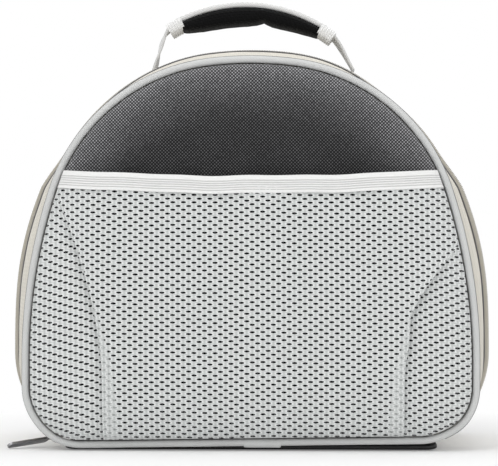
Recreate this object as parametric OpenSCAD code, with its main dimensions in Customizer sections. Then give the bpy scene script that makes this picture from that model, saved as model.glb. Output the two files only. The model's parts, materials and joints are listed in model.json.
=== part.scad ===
// Bird travel carrier. Front looks along -Y, +Z is up, the origin is at the middle of the base's underside.

/* [Front panel] */
// Half width of the front panel
panel_half_w = 137; // [125:1:150]
// Height of the front panel's crest above the floor
panel_crest = 240; // [225:1:255]
// Height of the front panel's lower edge
panel_foot = 7.6; // [7:0.2:10]
// Radius of the front panel's lower corners
panel_corner_r = 38; // [30:1:44]
// Height at which the panel is widest
panel_widest = 56; // [52:1:62]
// How far the moulded panel stands proud of its piping
dome_rise = 12; // [8:0.5:14]
// Wall of the moulded panels
shell_wall = 4; // [3:0.5:5]

/* [Zip ring] */
// Half width of the body at the zip
ring_half_w = 147.2; // [145:0.2:152]
// Crest height of the body at the zip
ring_crest = 248.4; // [246.4:0.2:252]
// Height of the body's underside at the zip
ring_foot = 3.4; // [3.2:0.1:4]
// Radius of the body's lower corners
ring_corner_r = 57; // [52:1:60]
// Height at which the body is widest
ring_widest = 70; // [64:1:76]
// How far the body stands outside the panel at its hips, where it is fullest
hip_swell = 12.5; // [11:0.1:13]
// Direction in which the hips face, above the level
hip_angle = 11; // [9:0.5:14]
// How far the body stands outside the panel at its shoulders, where it is slimmest
shoulder_swell = 5.8; // [5.4:0.1:7]
// Direction in which the shoulders face, above the level
shoulder_angle = 31; // [28:0.5:36]

/* [Arch] */
// Radius of the long side curve, at the panel
side_r = 339; // [300:1:380]
// Radius of the shoulder curve, at the panel
shoulder_r = 114; // [105:1:120]
// Radius of the crest curve, at the panel
crest_r = 213; // [195:1:230]

/* [Depth] */
// Distance between the two piping rings
body_depth = 144; // [130:1:170]
// Distance from the front piping back to the zip
zip_setback = 26; // [24:1:32]
// Length over which the rear end narrows to its piping
rear_taper = 26; // [20:1:34]

/* [Fabric] */
// Thickness of the gusset's padded wall
gusset_wall = 2.2; // [1.6:0.1:3]
// Thickness of the lining
lining_wall = 0.8; // [0.6:0.1:1.2]
// Radius of the piping cord
piping_r = 2.2; // [1.8:0.1:2.4]
// Dark groove between panel and piping
piping_gap = 0.6; // [0.4:0.1:1]
// Running clearance between soft pieces
soft_gap = 0.3; // [0.2:0.05:0.4]

/* [Zip] */
// Width of each zip tape
tape_w = 10; // [8:0.5:12]
// Thickness of the tape
tape_t = 0.8; // [0.6:0.1:1]
// Height of the coil over the tape's inner face
coil_h = 2; // [1.6:0.1:2.4]
// Width of each half of the coil
coil_w = 0.9; // [0.8:0.1:1.2]
// Gap between the two halves of the coil
coil_gap = 0.8; // [0.7:0.1:1]
// Angle up the lower corner at which the zip ends
zip_end_angle = 25; // [22:1:28]
// Angle up the lower corner at which the slider is parked
slider_angle = 34; // [33:1:40]
// Length of the slider
slider_length = 10; // [8:0.5:11]
// Width of the slider's outer plate
slider_w = 9; // [8:0.5:10]
// Thickness of the slider's plates
slider_t = 1.2; // [1:0.1:1.4]
// Height of the pull's pin over the slider's plate
pin_rise = 4.5; // [3:0.1:5]
// Radius of the pull's pin
pin_r = 0.8; // [0.7:0.05:0.9]
// Length of the pull, from its pin to its tip
pull_length = 31.6; // [26:0.2:34]
// Width of the pull
pull_w = 5.6; // [5:0.2:7]
// Thickness of the pull
pull_t = 1.6; // [1.2:0.1:1.8]
// How far the resting pull is turned towards the front
pull_yaw = 38; // [34:1:42]
// How far the resting pull slopes down to the floor
pull_dip = 12; // [4:0.5:12]

/* [Pocket] */
// Height of the band's top edge at its ends
band_top = 174; // [160:1:185]
// Height of the band
band_h = 11; // [9:0.5:14]
// How far the band sags at its middle
band_sag = 3.8; // [1:0.2:5]
// Thickness of the band
band_t = 1.4; // [1:0.1:2]
// How far the pocket stands off the panel at its mouth
pocket_depth = 7.6; // [7:0.2:9]
// Thickness of the net
net_t = 0.8; // [0.6:0.1:1]
// Half width of the net's middle portion at the bottom
pleat_x = 92; // [84:1:96]
// How much wider the middle portion would be at the mouth
pleat_flare = 46; // [30:1:60]
// Rows of gaps in the net
net_rows = 14; // [8:1:15]
// Columns of gaps in the middle portion
net_cols = 14; // [8:1:15]
// Columns of gaps in each side portion
side_cols = 3; // [2:1:3]

/* [Handle] */
// Radius of the grip's curve, on the strap's outer face
grip_curve_r = 97; // [92:1:104]
// Height of the handle's top
handle_top = 284.6; // [281:0.2:290]
// How far the handle's top leans to the left
handle_lean = 6.6; // [0:0.2:8]
// Angles at which the strap leaves the curve, left and right of the top
bend_left = 33; // [30:0.5:35]
// The same at the right
bend_right = 36.5; // [34:0.5:38]
// Half distance between the handle's feet
foot_x = 65; // [62:0.5:68]
// Width of the webbing
strap_w = 25; // [20:1:28]
// Thickness of the webbing
strap_t = 2; // [1.8:0.1:2.6]
// Thickness of the grip's foam core
core_t = 7; // [6:0.5:9]
// Thickness of the grip's wrap
wrap_t = 1.5; // [1:0.1:2]
// Width of the grip
grip_w = 30; // [28:1:34]
// Length of each ribbed cuff, as an angle of the curve
cuff_angle = 6.4; // [6:0.2:8]
// Distance of the handle's middle behind the body's middle
handle_y = 8; // [0:1:14]
// Room at its feet for the handle to tip each way
handle_tip = 30; // [20:1:32]

/* [Cabin] */
// Height of the perch
perch_z = 100; // [80:1:115]
// Radius of the perch
perch_r = 7; // [6:0.5:8]
// Distance of the perch behind the body's middle
perch_y = 12; // [0:1:16]
// Depth of a perch saddle, from the wall inwards
saddle_depth = 14; // [12:1:18]
// Height of a saddle's arms over the perch's middle
saddle_arm = 16; // [14:1:18]
// Wall of a saddle
saddle_wall = 3; // [2.5:0.5:4]
// Running clearance of the perch in its saddle
perch_gap = 0.3; // [0.2:0.05:0.5]
// Width of the floor pad
pad_w = 170; // [150:1:174]
// Depth of the floor pad
pad_d = 90; // [80:1:94]
// Thickness of the floor pad
pad_t = 5; // [4:0.5:7]

/* [Base] */
// Width of the black base
base_w = 232; // [220:1:236]
// How far the base stands back from the piping at the front and the rear
base_inset = 3.5; // [2.8:0.1:5]
// Thickness of the black base
base_t = 3.1; // [2.8:0.1:3.1]
// Thickness of the base board
board_t = 2.5; // [2:0.1:3]
// Share of the rear panel's outline that its window takes
window_share = 0.62; // [0.5:0.01:0.7]

/* [Hidden] */
$fn = 48;

// Segments of each stretch of the arch, and of the piping's section
corner_steps = 10;
side_steps = 5;
shoulder_steps = 10;
crest_steps = 4;
piping_sides = 8;

front_y = -body_depth / 2;
rear_y = body_depth / 2;
zip_y = front_y + zip_setback;
piping_out = piping_gap + piping_r;
panel_middle = [0, 118];
seam = 0.02;
lay_gap = 0.1;

// ---- outlines in the X-Z plane ----

function ray(a) = [cos(a), sin(a)];

// Where circles about p and q meet, on the side away from the axis and upwards
function circles_meet(p, rp, q, rq) =
    let (d = norm(q - p), u = (q - p) / d, a = (rp * rp - rq * rq + d * d) / (2 * d))
    p + a * u + sqrt(rp * rp - a * a) * [u[1], -u[0]];

// Middles of the panel's three arcs on its right half, and the directions in which they meet
panel_corner = [panel_half_w - panel_corner_r, panel_foot + panel_corner_r];
panel_side = [panel_half_w - side_r, panel_widest];
panel_top = [0, panel_crest - crest_r];
panel_shoulder = circles_meet(panel_top, crest_r - shoulder_r, panel_side, side_r - shoulder_r);
side_end = atan2(panel_shoulder[1] - panel_side[1], panel_shoulder[0] - panel_side[0]);
shoulder_end = atan2(panel_shoulder[1] - panel_top[1], panel_shoulder[0] - panel_top[0]);

// Right half of an arch, from its lower corner to its crest; swell tells how far it lies outside
// the panel's arcs, by the direction in which it faces
function half_arch(corner, corner_r, from, widest, swell) =
    let (
        start = asin((widest - panel_side[1]) / (side_r + swell(0))),
        along = function (c, r, a0, a1, i0, n)
            [for (i = [i0:n]) let (a = a0 + (a1 - a0) * i / n) c + (r + swell(a)) * ray(a)]
    )
    concat(
        [for (i = [0:corner_steps]) corner + corner_r * ray(from * (1 - i / corner_steps))],
        along(panel_side, side_r, start, side_end, 0, side_steps),
        along(panel_shoulder, shoulder_r, side_end, shoulder_end, 1, shoulder_steps),
        along(panel_top, crest_r, shoulder_end, 90, 1, crest_steps)
    );

function mirrored(pts) = [for (i = [len(pts) - 2:-1:0]) [-pts[i][0], pts[i][1]]];

function both_halves(pts) = concat(pts, mirrored(pts));

// The front panel's outline, grown by k; from is the angle at which the lower corner starts
function panel_loop(k = 0, from = -90) =
    both_halves(half_arch(panel_corner, panel_corner_r + k, from, panel_widest, function (a) k));

// A smooth change from p to q
function eased(p, q, share) = p + (q - p) * (1 - cos(180 * max(0, share))) / 2;

// How far the body's outline lies outside the panel's, by the direction in which it faces
function ring_swell(a) =
    a < hip_angle ? eased(ring_half_w - panel_half_w, hip_swell, a / hip_angle)
        : a < shoulder_angle ? eased(hip_swell, shoulder_swell, (a - hip_angle) / (shoulder_angle - hip_angle))
        : eased(shoulder_swell, ring_crest - panel_crest, (a - shoulder_angle) / (90 - shoulder_angle));

ring_corner = [ring_half_w - ring_corner_r, ring_foot + ring_corner_r];

// The body's outline at the zip, grown by k
function ring_loop(k = 0, from = -90) =
    both_halves(half_arch(ring_corner, ring_corner_r + k, from, ring_widest, function (a) ring_swell(a) + k));

function mix_loops(a, b, s) = [for (i = [0:len(a) - 1]) a[i] * (1 - s) + b[i] * s];

function shrink_loop(loop, s) = [for (p = loop) panel_middle + s * (p - panel_middle)];

function at_y(loop, y) = [for (p = loop) [p[0], y, p[1]]];

// ---- solids from rows of points ----

// Faces of a wall between two grids of points, each rows by n points; open walls get ends
function wall_faces(rows, n, closed) =
    let (
        m = rows * n,
        last = closed ? n - 1 : n - 2,
        skin_a = [for (i = [0:rows - 2]) for (j = [0:last]) let (k = (j + 1) % n)
            for (f = [[i * n + j, i * n + k, (i + 1) * n + k], [i * n + j, (i + 1) * n + k, (i + 1) * n + j]]) f],
        skin_b = [for (f = skin_a) [f[2] + m, f[1] + m, f[0] + m]],
        edges = [for (e = [[0, 1], [rows - 1, -1]]) for (j = [0:last]) let (k = (j + 1) % n, r = e[0] * n)
            for (f = [[r + j, m + r + j, m + r + k], [r + j, m + r + k, r + k]]) e[1] > 0 ? f : [f[2], f[1], f[0]]],
        ends = closed ? [] : [for (e = [[0, -1], [n - 1, 1]]) for (i = [0:rows - 2])
            let (a = i * n + e[0], b = (i + 1) * n + e[0])
            for (f = [[a, m + a, m + b], [a, m + b, b]]) e[1] > 0 ? f : [f[2], f[1], f[0]]]
    )
    concat(skin_a, skin_b, edges, ends);

function flat(rows) = [for (r = rows) for (p = r) p];

function turned(faces) = [for (f = faces) [f[2], f[1], f[0]]];

module wall(outer, inner, closed = true, flip = false) {
    n = len(outer[0]);
    faces = wall_faces(len(outer), n, closed);
    polyhedron(points = concat(flat(outer), flat(inner)), faces = flip ? turned(faces) : faces);
}

// An extrusion along Y of a shape drawn in X and Z
module along_y(y0, y1) {
    translate([0, y1, 0])
        rotate([90, 0, 0])
            linear_extrude(height = y1 - y0)
                children();
}

// A flat strip along the arch, between two growths of the zip ring
module ring_strip(k0, k1, from, y0, y1) {
    inner = ring_loop(k0, from);
    outer = ring_loop(k1, from);
    along_y(y0, y1)
        polygon(concat(outer, [for (i = [len(inner) - 1:-1:0]) inner[i]]));
}

// ---- moulded panels ----

dome_shares = [1, 0.985, 0.955, 0.9, 0.82, 0.7, 0.55];
rear_shares = [1, 0.985, 0.955, 0.9, 0.8, window_share];
rim_inset = 0.025;

function dome_height(s) = dome_rise * sqrt(1 - pow(s, 8));

// Rows of a dome's surface, sunk by depth behind the outer face, in the direction dir along Y
function dome_rows(shares, y, dir, depth) =
    [for (s = shares) at_y(shrink_loop(panel_loop(), s - rim_inset * depth / shell_wall),
        y + dir * (dome_height(s) - depth))];

// A closed dome with a flat middle
module dome(shares, y, dir, depth, wall_t) {
    outer = dome_rows(shares, y, dir, depth);
    inner = dome_rows(shares, y, dir, depth + wall_t);
    rows = len(shares);
    n = len(outer[0]);
    m = rows * n;
    walls = wall_faces(rows, n, true);
    last = (rows - 1) * n;
    open_edge = [for (f = walls) if (!(min(f) >= last && max(f) >= m + last && min(f) < m)) f];
    caps = [[for (j = [0:n - 1]) last + j], [for (j = [n - 1:-1:0]) m + last + j]];
    polyhedron(points = concat(flat(outer), flat(inner)), faces = concat(open_edge, caps));
}

module front_shell() {
    color([0.24, 0.24, 0.25])
        dome(dome_shares, front_y, -1, 0, shell_wall);
}

module front_lining() {
    color([0.3, 0.3, 0.31])
        dome(dome_shares, front_y, -1, shell_wall, lining_wall);
}

module rear_panel() {
    color([0.24, 0.24, 0.25])
        wall(dome_rows(rear_shares, rear_y, 1, 0), dome_rows(rear_shares, rear_y, 1, shell_wall), flip = true);
}

module rear_lining() {
    color([0.3, 0.3, 0.31])
        wall(dome_rows(rear_shares, rear_y, 1, shell_wall),
            dome_rows(rear_shares, rear_y, 1, shell_wall + lining_wall), flip = true);
}

module rear_window_mesh() {
    overlap = 0.04;
    top_y = rear_y + dome_height(window_share + overlap) - shell_wall - lining_wall - soft_gap / 2;
    color([0.2, 0.2, 0.2])
        along_y(top_y - lining_wall, top_y)
            polygon(shrink_loop(panel_loop(), window_share + overlap - rim_inset));
}

// ---- pocket ----

panel_pts = panel_loop();

// How far a place on the panel lies from its middle, as a share of the way to its outline
function dome_share(x, z) =
    let (n = len(panel_pts), p = [x, z] - panel_middle)
    max([for (i = [0:n - 1])
        let (a = panel_pts[i] - panel_middle, d = panel_pts[(i + 1) % n] - panel_pts[i], out = [d[1], -d[0]])
        (p * out) / (a * out)]);

function dome_at(x, z) = dome_height(min(1, dome_share(x, z)));

// Height of a loop's upper side at a distance from the middle, and its slope there
function crossing(loop, x) =
    [for (i = [0:len(loop) - 2]) if (loop[i][0] >= x && loop[i + 1][0] < x && loop[i][1] > panel_middle[1]) i][0];

function height_at(loop, x) =
    let (i = crossing(loop, x), a = loop[i], b = loop[i + 1])
    a[1] + (b[1] - a[1]) * (a[0] - x) / (a[0] - b[0]);

function slope_at(loop, x) =
    let (i = crossing(loop, x), a = loop[i], b = loop[i + 1])
    atan2(b[1] - a[1], a[0] - b[0]);

// Half width of the panel at a height, less an inset
function half_width_at(z, inset) =
    (z < panel_corner[1] ? panel_corner[0] + sqrt(max(0, pow(panel_corner_r, 2) - pow(panel_corner[1] - z, 2)))
        : z < panel_widest ? panel_half_w
        : panel_side[0] + sqrt(pow(side_r, 2) - pow(z - panel_widest, 2))) - inset;

net_edge = 1.2;
net_foot = panel_foot + net_edge;
net_top = band_top - band_h + 1;
net_clear = 0.5;

// How far the net's outer face stands off the panel: v runs from the foot to the mouth
function net_stand(x, z) =
    let (v = (z - net_foot) / (net_top - net_foot), e = min(1, (half_width_at(z, net_edge) - abs(x)) / 40))
    net_clear + net_t + (pocket_depth - net_clear) * max(0, sin(90 * min(1, e))) * min(1, v * 1.6 + 0.1);

function net_y(x, z) = front_y - dome_at(x, z) - net_stand(x, z);

// A net of diamond-shaped gaps between a left and a right edge, each a distance by height
module net(cols, left, right) {
    rows = net_rows;
    gap_w = 0.33;
    gap_h = 0.24;
    function spot(u, v) =
        let (z = net_foot + (net_top - net_foot) * v, x = left(z) * (1 - u) + right(z) * u)
        [x, net_y(x, z), z];
    corners = [for (i = [0:rows]) for (j = [0:cols]) spot(j / cols, i / rows)];
    tips = [for (i = [0:rows - 1]) for (j = [0:cols - 1])
        for (d = [[0, -gap_h], [gap_w, 0], [0, gap_h], [-gap_w, 0]])
        spot((j + 0.5 + d[0]) / cols, (i + 0.5 + d[1]) / rows)];
    front_pts = concat(corners, tips);
    back_pts = [for (p = front_pts) p + [0, net_t, 0]];
    m = len(front_pts);
    base = len(corners);
    cell = [for (i = [0:rows - 1]) for (j = [0:cols - 1])
        let (
            a = i * (cols + 1) + j, b = a + 1, c = b + cols + 1, d = a + cols + 1,
            t = base + 4 * (i * cols + j)
        )
        for (f = [[a, b, t], [b, t + 1, t], [b, c, t + 1], [c, t + 2, t + 1], [c, d, t + 2],
            [d, t + 3, t + 2], [d, a, t + 3], [a, t, t + 3]]) f];
    hole = [for (i = [0:rows * cols - 1]) for (s = [0:3])
        let (p = base + 4 * i + s, q = base + 4 * i + (s + 1) % 4)
        for (f = [[p, q, m + q], [p, m + q, m + p]]) f];
    ring = concat([for (j = [0:cols]) j], [for (i = [1:rows]) i * (cols + 1) + cols],
        [for (j = [cols - 1:-1:0]) rows * (cols + 1) + j], [for (i = [rows - 1:-1:1]) i * (cols + 1)]);
    edge = [for (s = [0:len(ring) - 1])
        let (p = ring[s], q = ring[(s + 1) % len(ring)])
        for (f = [[q, p, m + p], [q, m + p, m + q]]) f];
    polyhedron(
        points = concat(front_pts, back_pts),
        faces = turned(concat(turned(cell), [for (f = cell) [f[0] + m, f[1] + m, f[2] + m]], turned(hole), turned(edge)))
    );
}

// The pleats bend outwards towards the mouth, and stay clear of the net's edges
pleat_margin = 8;

function pleat_at(z) =
    min(half_width_at(z, net_edge) - pleat_margin,
        pleat_x + pleat_flare * pow((z - net_foot) / (net_top - net_foot), 3));

module pocket_net_left() {
    color([0.82, 0.83, 0.82])
        net(side_cols, function (z) -half_width_at(z, net_edge), function (z) -pleat_at(z) - soft_gap);
}

module pocket_net_centre() {
    color([0.86, 0.87, 0.86])
        net(net_cols, function (z) -pleat_at(z), function (z) pleat_at(z));
}

module pocket_net_right() {
    color([0.82, 0.83, 0.82])
        net(side_cols, function (z) pleat_at(z) + soft_gap, function (z) half_width_at(z, net_edge));
}

module pocket_band() {
    steps = 24;
    band_clear = 0.5;
    low = band_top - band_h;
    function band_spot(u, rise, depth) =
        let (x = half_width_at(low + rise, net_edge) * u, z = low + rise - band_sag * (1 - u * u))
        [x, net_y(half_width_at(low, net_edge) * u, low) - band_clear - band_t + depth, z];
    function band_rows(depth) =
        [for (rise = [0, band_h]) [for (i = [0:steps]) band_spot(sin(180 * i / steps - 90), rise, depth)]];
    color([0.88, 0.88, 0.87])
        wall(band_rows(0), band_rows(band_t), closed = false);
}

// ---- piping ----

// A round cord swept along a closed loop in a plane of constant Y
module piping(loop, y) {
    n = len(loop);
    function side_way(i) =
        let (d = loop[(i + 1) % n] - loop[(i + n - 1) % n])
        [d[1], -d[0]] / norm(d);
    rings = [for (i = [0:n - 1]) let (w = side_way(i)) [for (k = [0:piping_sides - 1])
        let (a = 360 * (k + 0.5) / piping_sides)
        [loop[i][0] + piping_r * cos(a) * w[0], y + piping_r * sin(a), loop[i][1] + piping_r * cos(a) * w[1]]]];
    polyhedron(
        points = flat(rings),
        faces = [for (i = [0:n - 1]) for (k = [0:piping_sides - 1])
            let (i2 = (i + 1) % n, k2 = (k + 1) % piping_sides, s = piping_sides)
            for (f = [[i * s + k, i2 * s + k, i2 * s + k2], [i * s + k, i2 * s + k2, i * s + k2]]) f]
    );
}

module front_piping() {
    color([0.75, 0.75, 0.75])
        piping(panel_loop(piping_out), front_y);
}

module rear_piping() {
    color([0.75, 0.75, 0.75])
        piping(panel_loop(piping_out), rear_y);
}

// A sleeve round the piping's joint at the bottom
module piping_joint_cover() {
    cover_from = -0.03 * panel_half_w;
    cover_to = 0.14 * panel_half_w;
    cover_t = 0.5;
    color([0.78, 0.78, 0.78])
        translate([cover_from, front_y, panel_foot - piping_out])
            rotate([0, 90, 0])
                difference() {
                    cylinder(r = piping_r + cover_t, h = cover_to - cover_from);
                    translate([0, 0, -1])
                        cylinder(r = piping_r + seam, h = cover_to - cover_from + 2);
                }
}

// ---- gussets ----

// Outer surface of a gusset end, from its piping (t = 0) to the straight wall (t = 1)
function gusset_loop(t, k, from) =
    mix_loops(panel_loop(piping_out + k, from), ring_loop(k, from), sin(90 * min(1, t / 0.6)));

gusset_steps = [0, 0.12, 0.26, 0.42, 0.6, 1];
front_from = -90 + zip_end_angle;
gusset_edge = tape_w - 2;

module front_gusset() {
    y0 = front_y + piping_r;
    y1 = zip_y - gusset_edge;
    color([0.83, 0.82, 0.79])
        wall(
            [for (t = gusset_steps) at_y(gusset_loop(t, -seam, front_from), y0 + (y1 - y0) * t)],
            [for (t = gusset_steps) at_y(gusset_loop(t, -gusset_wall, front_from), y0 + (y1 - y0) * t)],
            closed = false
        );
}

module rear_gusset() {
    y0 = rear_y - piping_r;
    y1 = rear_y - rear_taper;
    y2 = zip_y + gusset_edge;
    ts = [for (t = gusset_steps) if (t < 1) t];
    rows = concat([for (t = ts) [t, y0 + (y1 - y0) * t / 0.6]], [[1, y2]]);
    color([0.8, 0.79, 0.76])
        wall(
            [for (r = rows) at_y(gusset_loop(r[0], -seam, -90), r[1])],
            [for (r = rows) at_y(gusset_loop(r[0], -gusset_wall, -90), r[1])],
            flip = true
        );
}

module gusset_lining() {
    outer = ring_loop(-gusset_wall - seam);
    inner = ring_loop(-gusset_wall - lining_wall);
    color([0.35, 0.35, 0.36])
        along_y(zip_y + gusset_edge, rear_y - rear_taper)
            difference() {
                polygon(outer);
                polygon(inner);
            }
}

hoop_w = 8;
hoop_t = 1.2;

module frame_hoops() {
    k1 = -gusset_wall - lining_wall - seam;
    color([0.6, 0.6, 0.6])
        for (y = [zip_y + gusset_edge, rear_y - rear_taper - hoop_w])
            along_y(y, y + hoop_w)
                difference() {
                    polygon(ring_loop(k1));
                    polygon(ring_loop(k1 - hoop_t));
                }
}

// ---- zip ----

module front_zip_tape() {
    color([0.68, 0.67, 0.62])
        ring_strip(lay_gap, lay_gap + tape_t, front_from, zip_y - tape_w, zip_y - coil_gap / 2 - coil_w);
}

module rear_zip_tape() {
    color([0.68, 0.67, 0.62])
        ring_strip(lay_gap, lay_gap + tape_t, front_from, zip_y + coil_gap / 2 + coil_w, zip_y + tape_w);
}

module front_zip_coil() {
    color([0.62, 0.6, 0.55])
        ring_strip(lay_gap, coil_h, front_from, zip_y - coil_gap / 2 - coil_w, zip_y - coil_gap / 2);
}

module rear_zip_coil() {
    color([0.62, 0.6, 0.55])
        ring_strip(lay_gap, coil_h, front_from, zip_y + coil_gap / 2, zip_y + coil_gap / 2 + coil_w);
}

// A block bent about the lower left corner: from r0 to r1, about the angle a, len long
module bent_block(r0, r1, a, length, y0, y1) {
    span = length / r1 * 180 / PI;
    translate([-ring_corner[0], y1, ring_corner[1]])
        rotate([90, 0, 0])
            rotate([0, 0, -90 - a - span / 2])
                rotate_extrude(angle = span)
                    translate([r0, 0])
                        square([r1 - r0, y1 - y0]);
}

module zip_end_stops() {
    stop_l = 3;
    color([0.45, 0.45, 0.45])
        for (side = [0, 1])
            mirror([side, 0, 0])
                bent_block(ring_corner_r - 1, ring_corner_r + coil_h, zip_end_angle - stop_l / ring_corner_r * 90 / PI
                    - 0.5, stop_l, zip_y + coil_gap / 2, zip_y + gusset_edge - soft_gap);
}

slider_in = ring_corner_r - soft_gap - slider_t;
slider_out = ring_corner_r + coil_h + soft_gap;
slider_neck = coil_gap - 0.4;
pin_reach = slider_out + slider_t + pin_rise;
pull_eye_w = 3.4;
pin_at = [-ring_corner[0] - pin_reach * sin(slider_angle), zip_y, ring_corner[1] - pin_reach * cos(slider_angle)];

// A rod or bore along Y at the pull's pin
module pin_rod(r, length, y = 0) {
    translate([pin_at[0], pin_at[1] + y, pin_at[2]])
        rotate([90, 0, 0])
            cylinder(r = r, h = length, center = true);
}

ear_t = 1;
ear_y = pull_eye_w / 2 + soft_gap + ear_t / 2;

module zip_slider() {
    lowest = zip_y - slider_w / 2;
    highest = zip_y + slider_w / 2;
    neck = slider_neck / 2;
    color([0.4, 0.4, 0.42]) {
        bent_block(slider_out, slider_out + slider_t, slider_angle, slider_length, lowest, highest);
        bent_block(slider_in, slider_out + slider_t, slider_angle, slider_length, zip_y - neck, zip_y + neck);
        bent_block(slider_in, slider_in + slider_t, slider_angle, slider_length, zip_y - neck, highest);
        pin_rod(pin_r, 2 * ear_y + ear_t);
        for (side = [-1, 1]) {
            pin_rod(pin_r + 0.7, ear_t, side * ear_y);
            bent_block(slider_out + slider_t / 2, pin_reach, slider_angle, 2.4, zip_y + side * ear_y - ear_t / 2,
                zip_y + side * ear_y + ear_t / 2);
        }
    }
}

eye_r = pin_r + 0.9;
tongue_l = 5;

module zip_pull() {
    eye_gap = 0.1;
    blade_l = pull_length - tongue_l;
    color([0.42, 0.42, 0.44])
        difference() {
            translate(pin_at)
                rotate([0, -pull_dip, 0])
                    union() {
                        translate([-tongue_l - 1, -pull_eye_w / 2, -pull_t / 2])
                            cube([tongue_l + 1, pull_eye_w, pull_t]);
                        rotate([90, 0, 0])
                            cylinder(r = eye_r, h = pull_eye_w, center = true);
                        translate([-tongue_l, 0, 0])
                            rotate([0, 0, 180 + pull_yaw]) {
                                translate([0, -pull_w / 2, -pull_t / 2])
                                    cube([blade_l - pull_w / 2, pull_w, pull_t]);
                                translate([blade_l - pull_w / 2, 0, 0])
                                    cylinder(r = pull_w / 2, h = pull_t, center = true);
                                cylinder(r = pull_w / 2, h = pull_t, center = true);
                            }
                    }
            pin_rod(pin_r + eye_gap, pull_eye_w + 2);
        }
}

// ---- base ----

module base_panel() {
    color([0.08, 0.08, 0.08])
        translate([-base_w / 2, front_y + base_inset, 0])
            cube([base_w, body_depth - 2 * base_inset, base_t]);
}

board_z = ring_foot + gusset_wall + lining_wall;
board_half_w = ring_half_w - ring_corner_r - 2;

module base_board() {
    y0 = zip_y + gusset_edge + hoop_w + soft_gap;
    y1 = rear_y - rear_taper - hoop_w - soft_gap;
    color([0.25, 0.25, 0.25])
        translate([-board_half_w, y0, board_z])
            cube([2 * board_half_w, y1 - y0, board_t]);
}

module door_sill() {
    y0 = front_y + piping_r + 2.5;
    y1 = zip_y + gusset_edge - soft_gap;
    color([0.3, 0.3, 0.3])
        translate([-board_half_w, y0, base_t])
            cube([2 * board_half_w, y1 - y0, 2]);
}

module floor_pad() {
    pad_corner = 10;
    color([0.75, 0.78, 0.8])
        translate([0, 0, board_z + board_t + soft_gap])
            linear_extrude(height = pad_t)
                union() {
                    square([pad_w - 2 * pad_corner, pad_d], center = true);
                    square([pad_w, pad_d - 2 * pad_corner], center = true);
                    for (x = [-1, 1])
                        for (y = [-1, 1])
                            translate([x * (pad_w / 2 - pad_corner), y * (pad_d / 2 - pad_corner)])
                                circle(r = pad_corner);
                }
}

// ---- perch ----

cabin_loop = ring_loop(-gusset_wall - lining_wall);

// Half width of the cabin at a height
function cabin_half_w(z) =
    let (
        i = [for (i = [0:len(cabin_loop) / 2 - 1]) if (cabin_loop[i][1] <= z && cabin_loop[i + 1][1] > z) i][0],
        a = cabin_loop[i],
        b = cabin_loop[i + 1]
    )
    a[0] + (b[0] - a[0]) * (z - a[1]) / (b[1] - a[1]);

saddle_top_z = perch_z + saddle_arm;
saddle_low_z = perch_z - perch_r - perch_gap - saddle_wall;
saddle_wall_x = cabin_half_w(saddle_top_z) - soft_gap;
perch_half_l = saddle_wall_x - saddle_wall - perch_gap;

module perch_bar() {
    color([0.72, 0.55, 0.36])
        translate([-perch_half_l, perch_y, perch_z])
            rotate([0, 90, 0])
                cylinder(r = perch_r, h = 2 * perch_half_l);
}

module perch_saddles() {
    slot_r = perch_r + perch_gap;
    half_y = slot_r + saddle_wall;
    color([0.3, 0.3, 0.3])
        for (side = [-1, 1])
            translate([side * (saddle_wall_x - saddle_depth / 2), perch_y, 0])
                difference() {
                    translate([-saddle_depth / 2, -half_y, saddle_low_z])
                        cube([saddle_depth, 2 * half_y, saddle_top_z - saddle_low_z]);
                    translate([side > 0 ? -saddle_depth / 2 - 1 : -saddle_depth / 2 + saddle_wall, 0, perch_z])
                        rotate([0, 90, 0])
                            cylinder(r = slot_r, h = saddle_depth + 1 - saddle_wall);
                    translate([side > 0 ? -saddle_depth / 2 - 1 : -saddle_depth / 2 + saddle_wall, -slot_r, perch_z])
                        cube([saddle_depth + 1 - saddle_wall, 2 * slot_r, saddle_arm + 1]);
                }
}

module saddle_rivets() {
    rivet_r = saddle_wall * 0.45;
    rivet_h = 1.6;
    rivet_y = perch_r + perch_gap + saddle_wall / 2;
    color([0.6, 0.6, 0.6])
        for (side = [-1, 1])
            for (y = [-1, 1])
                translate([side * (saddle_wall_x - saddle_depth - rivet_h / 2 - seam), perch_y + y * rivet_y,
                    saddle_low_z + perch_r / 2])
                    rotate([0, 90, 0])
                        cylinder(r = rivet_r, h = rivet_h, center = true);
}

// ---- handle, drawn in X and Z and extruded along Y ----

grip_middle = [-handle_lean, handle_top - grip_curve_r];

crown_z = height_at(ring_loop(), foot_x);
stub_h = 6;
pivot_z = crown_z + stub_h;
clear_w = 20;

function curve_spot(r, a) = grip_middle + r * [sin(a), cos(a)];

module curve_band(r0, r1, a0, a1) {
    steps = 14;
    polygon(concat(
        [for (i = [0:steps]) curve_spot(r1, a0 + (a1 - a0) * i / steps)],
        [for (i = [steps:-1:0]) curve_spot(r0, a0 + (a1 - a0) * i / steps)]
    ));
}

// A leg of the strap, from the curve's end down to its foot
module leg(a, foot, side) {
    lap = 2;
    knee_out = 3;
    knee_drop = 5;
    top_out = curve_spot(grip_curve_r, a);
    knee = [top_out[0] + side * knee_out, top_out[1] - knee_drop];
    half = [side * strap_t / 2, 0];
    polygon([curve_spot(grip_curve_r - strap_t, a - side * lap), curve_spot(grip_curve_r, a - side * lap),
        top_out, knee, foot + half, foot - half, knee - 2 * half]);
}

// Removes the corners of the strap's lower end, so that it can tip on its foot
module tip_clearance() {
    for (side = [-1, 1])
        translate([0, handle_y, pivot_z])
            rotate([side * handle_tip / 2, 0, 0])
                translate([-foot_x - clear_w / 2, side > 0 ? 0 : -strap_w, -strap_w])
                    cube([2 * foot_x + clear_w, strap_w, strap_w]);
}

module across_strap() {
    along_y(handle_y - strap_w / 2, handle_y + strap_w / 2)
        children();
}

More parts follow.
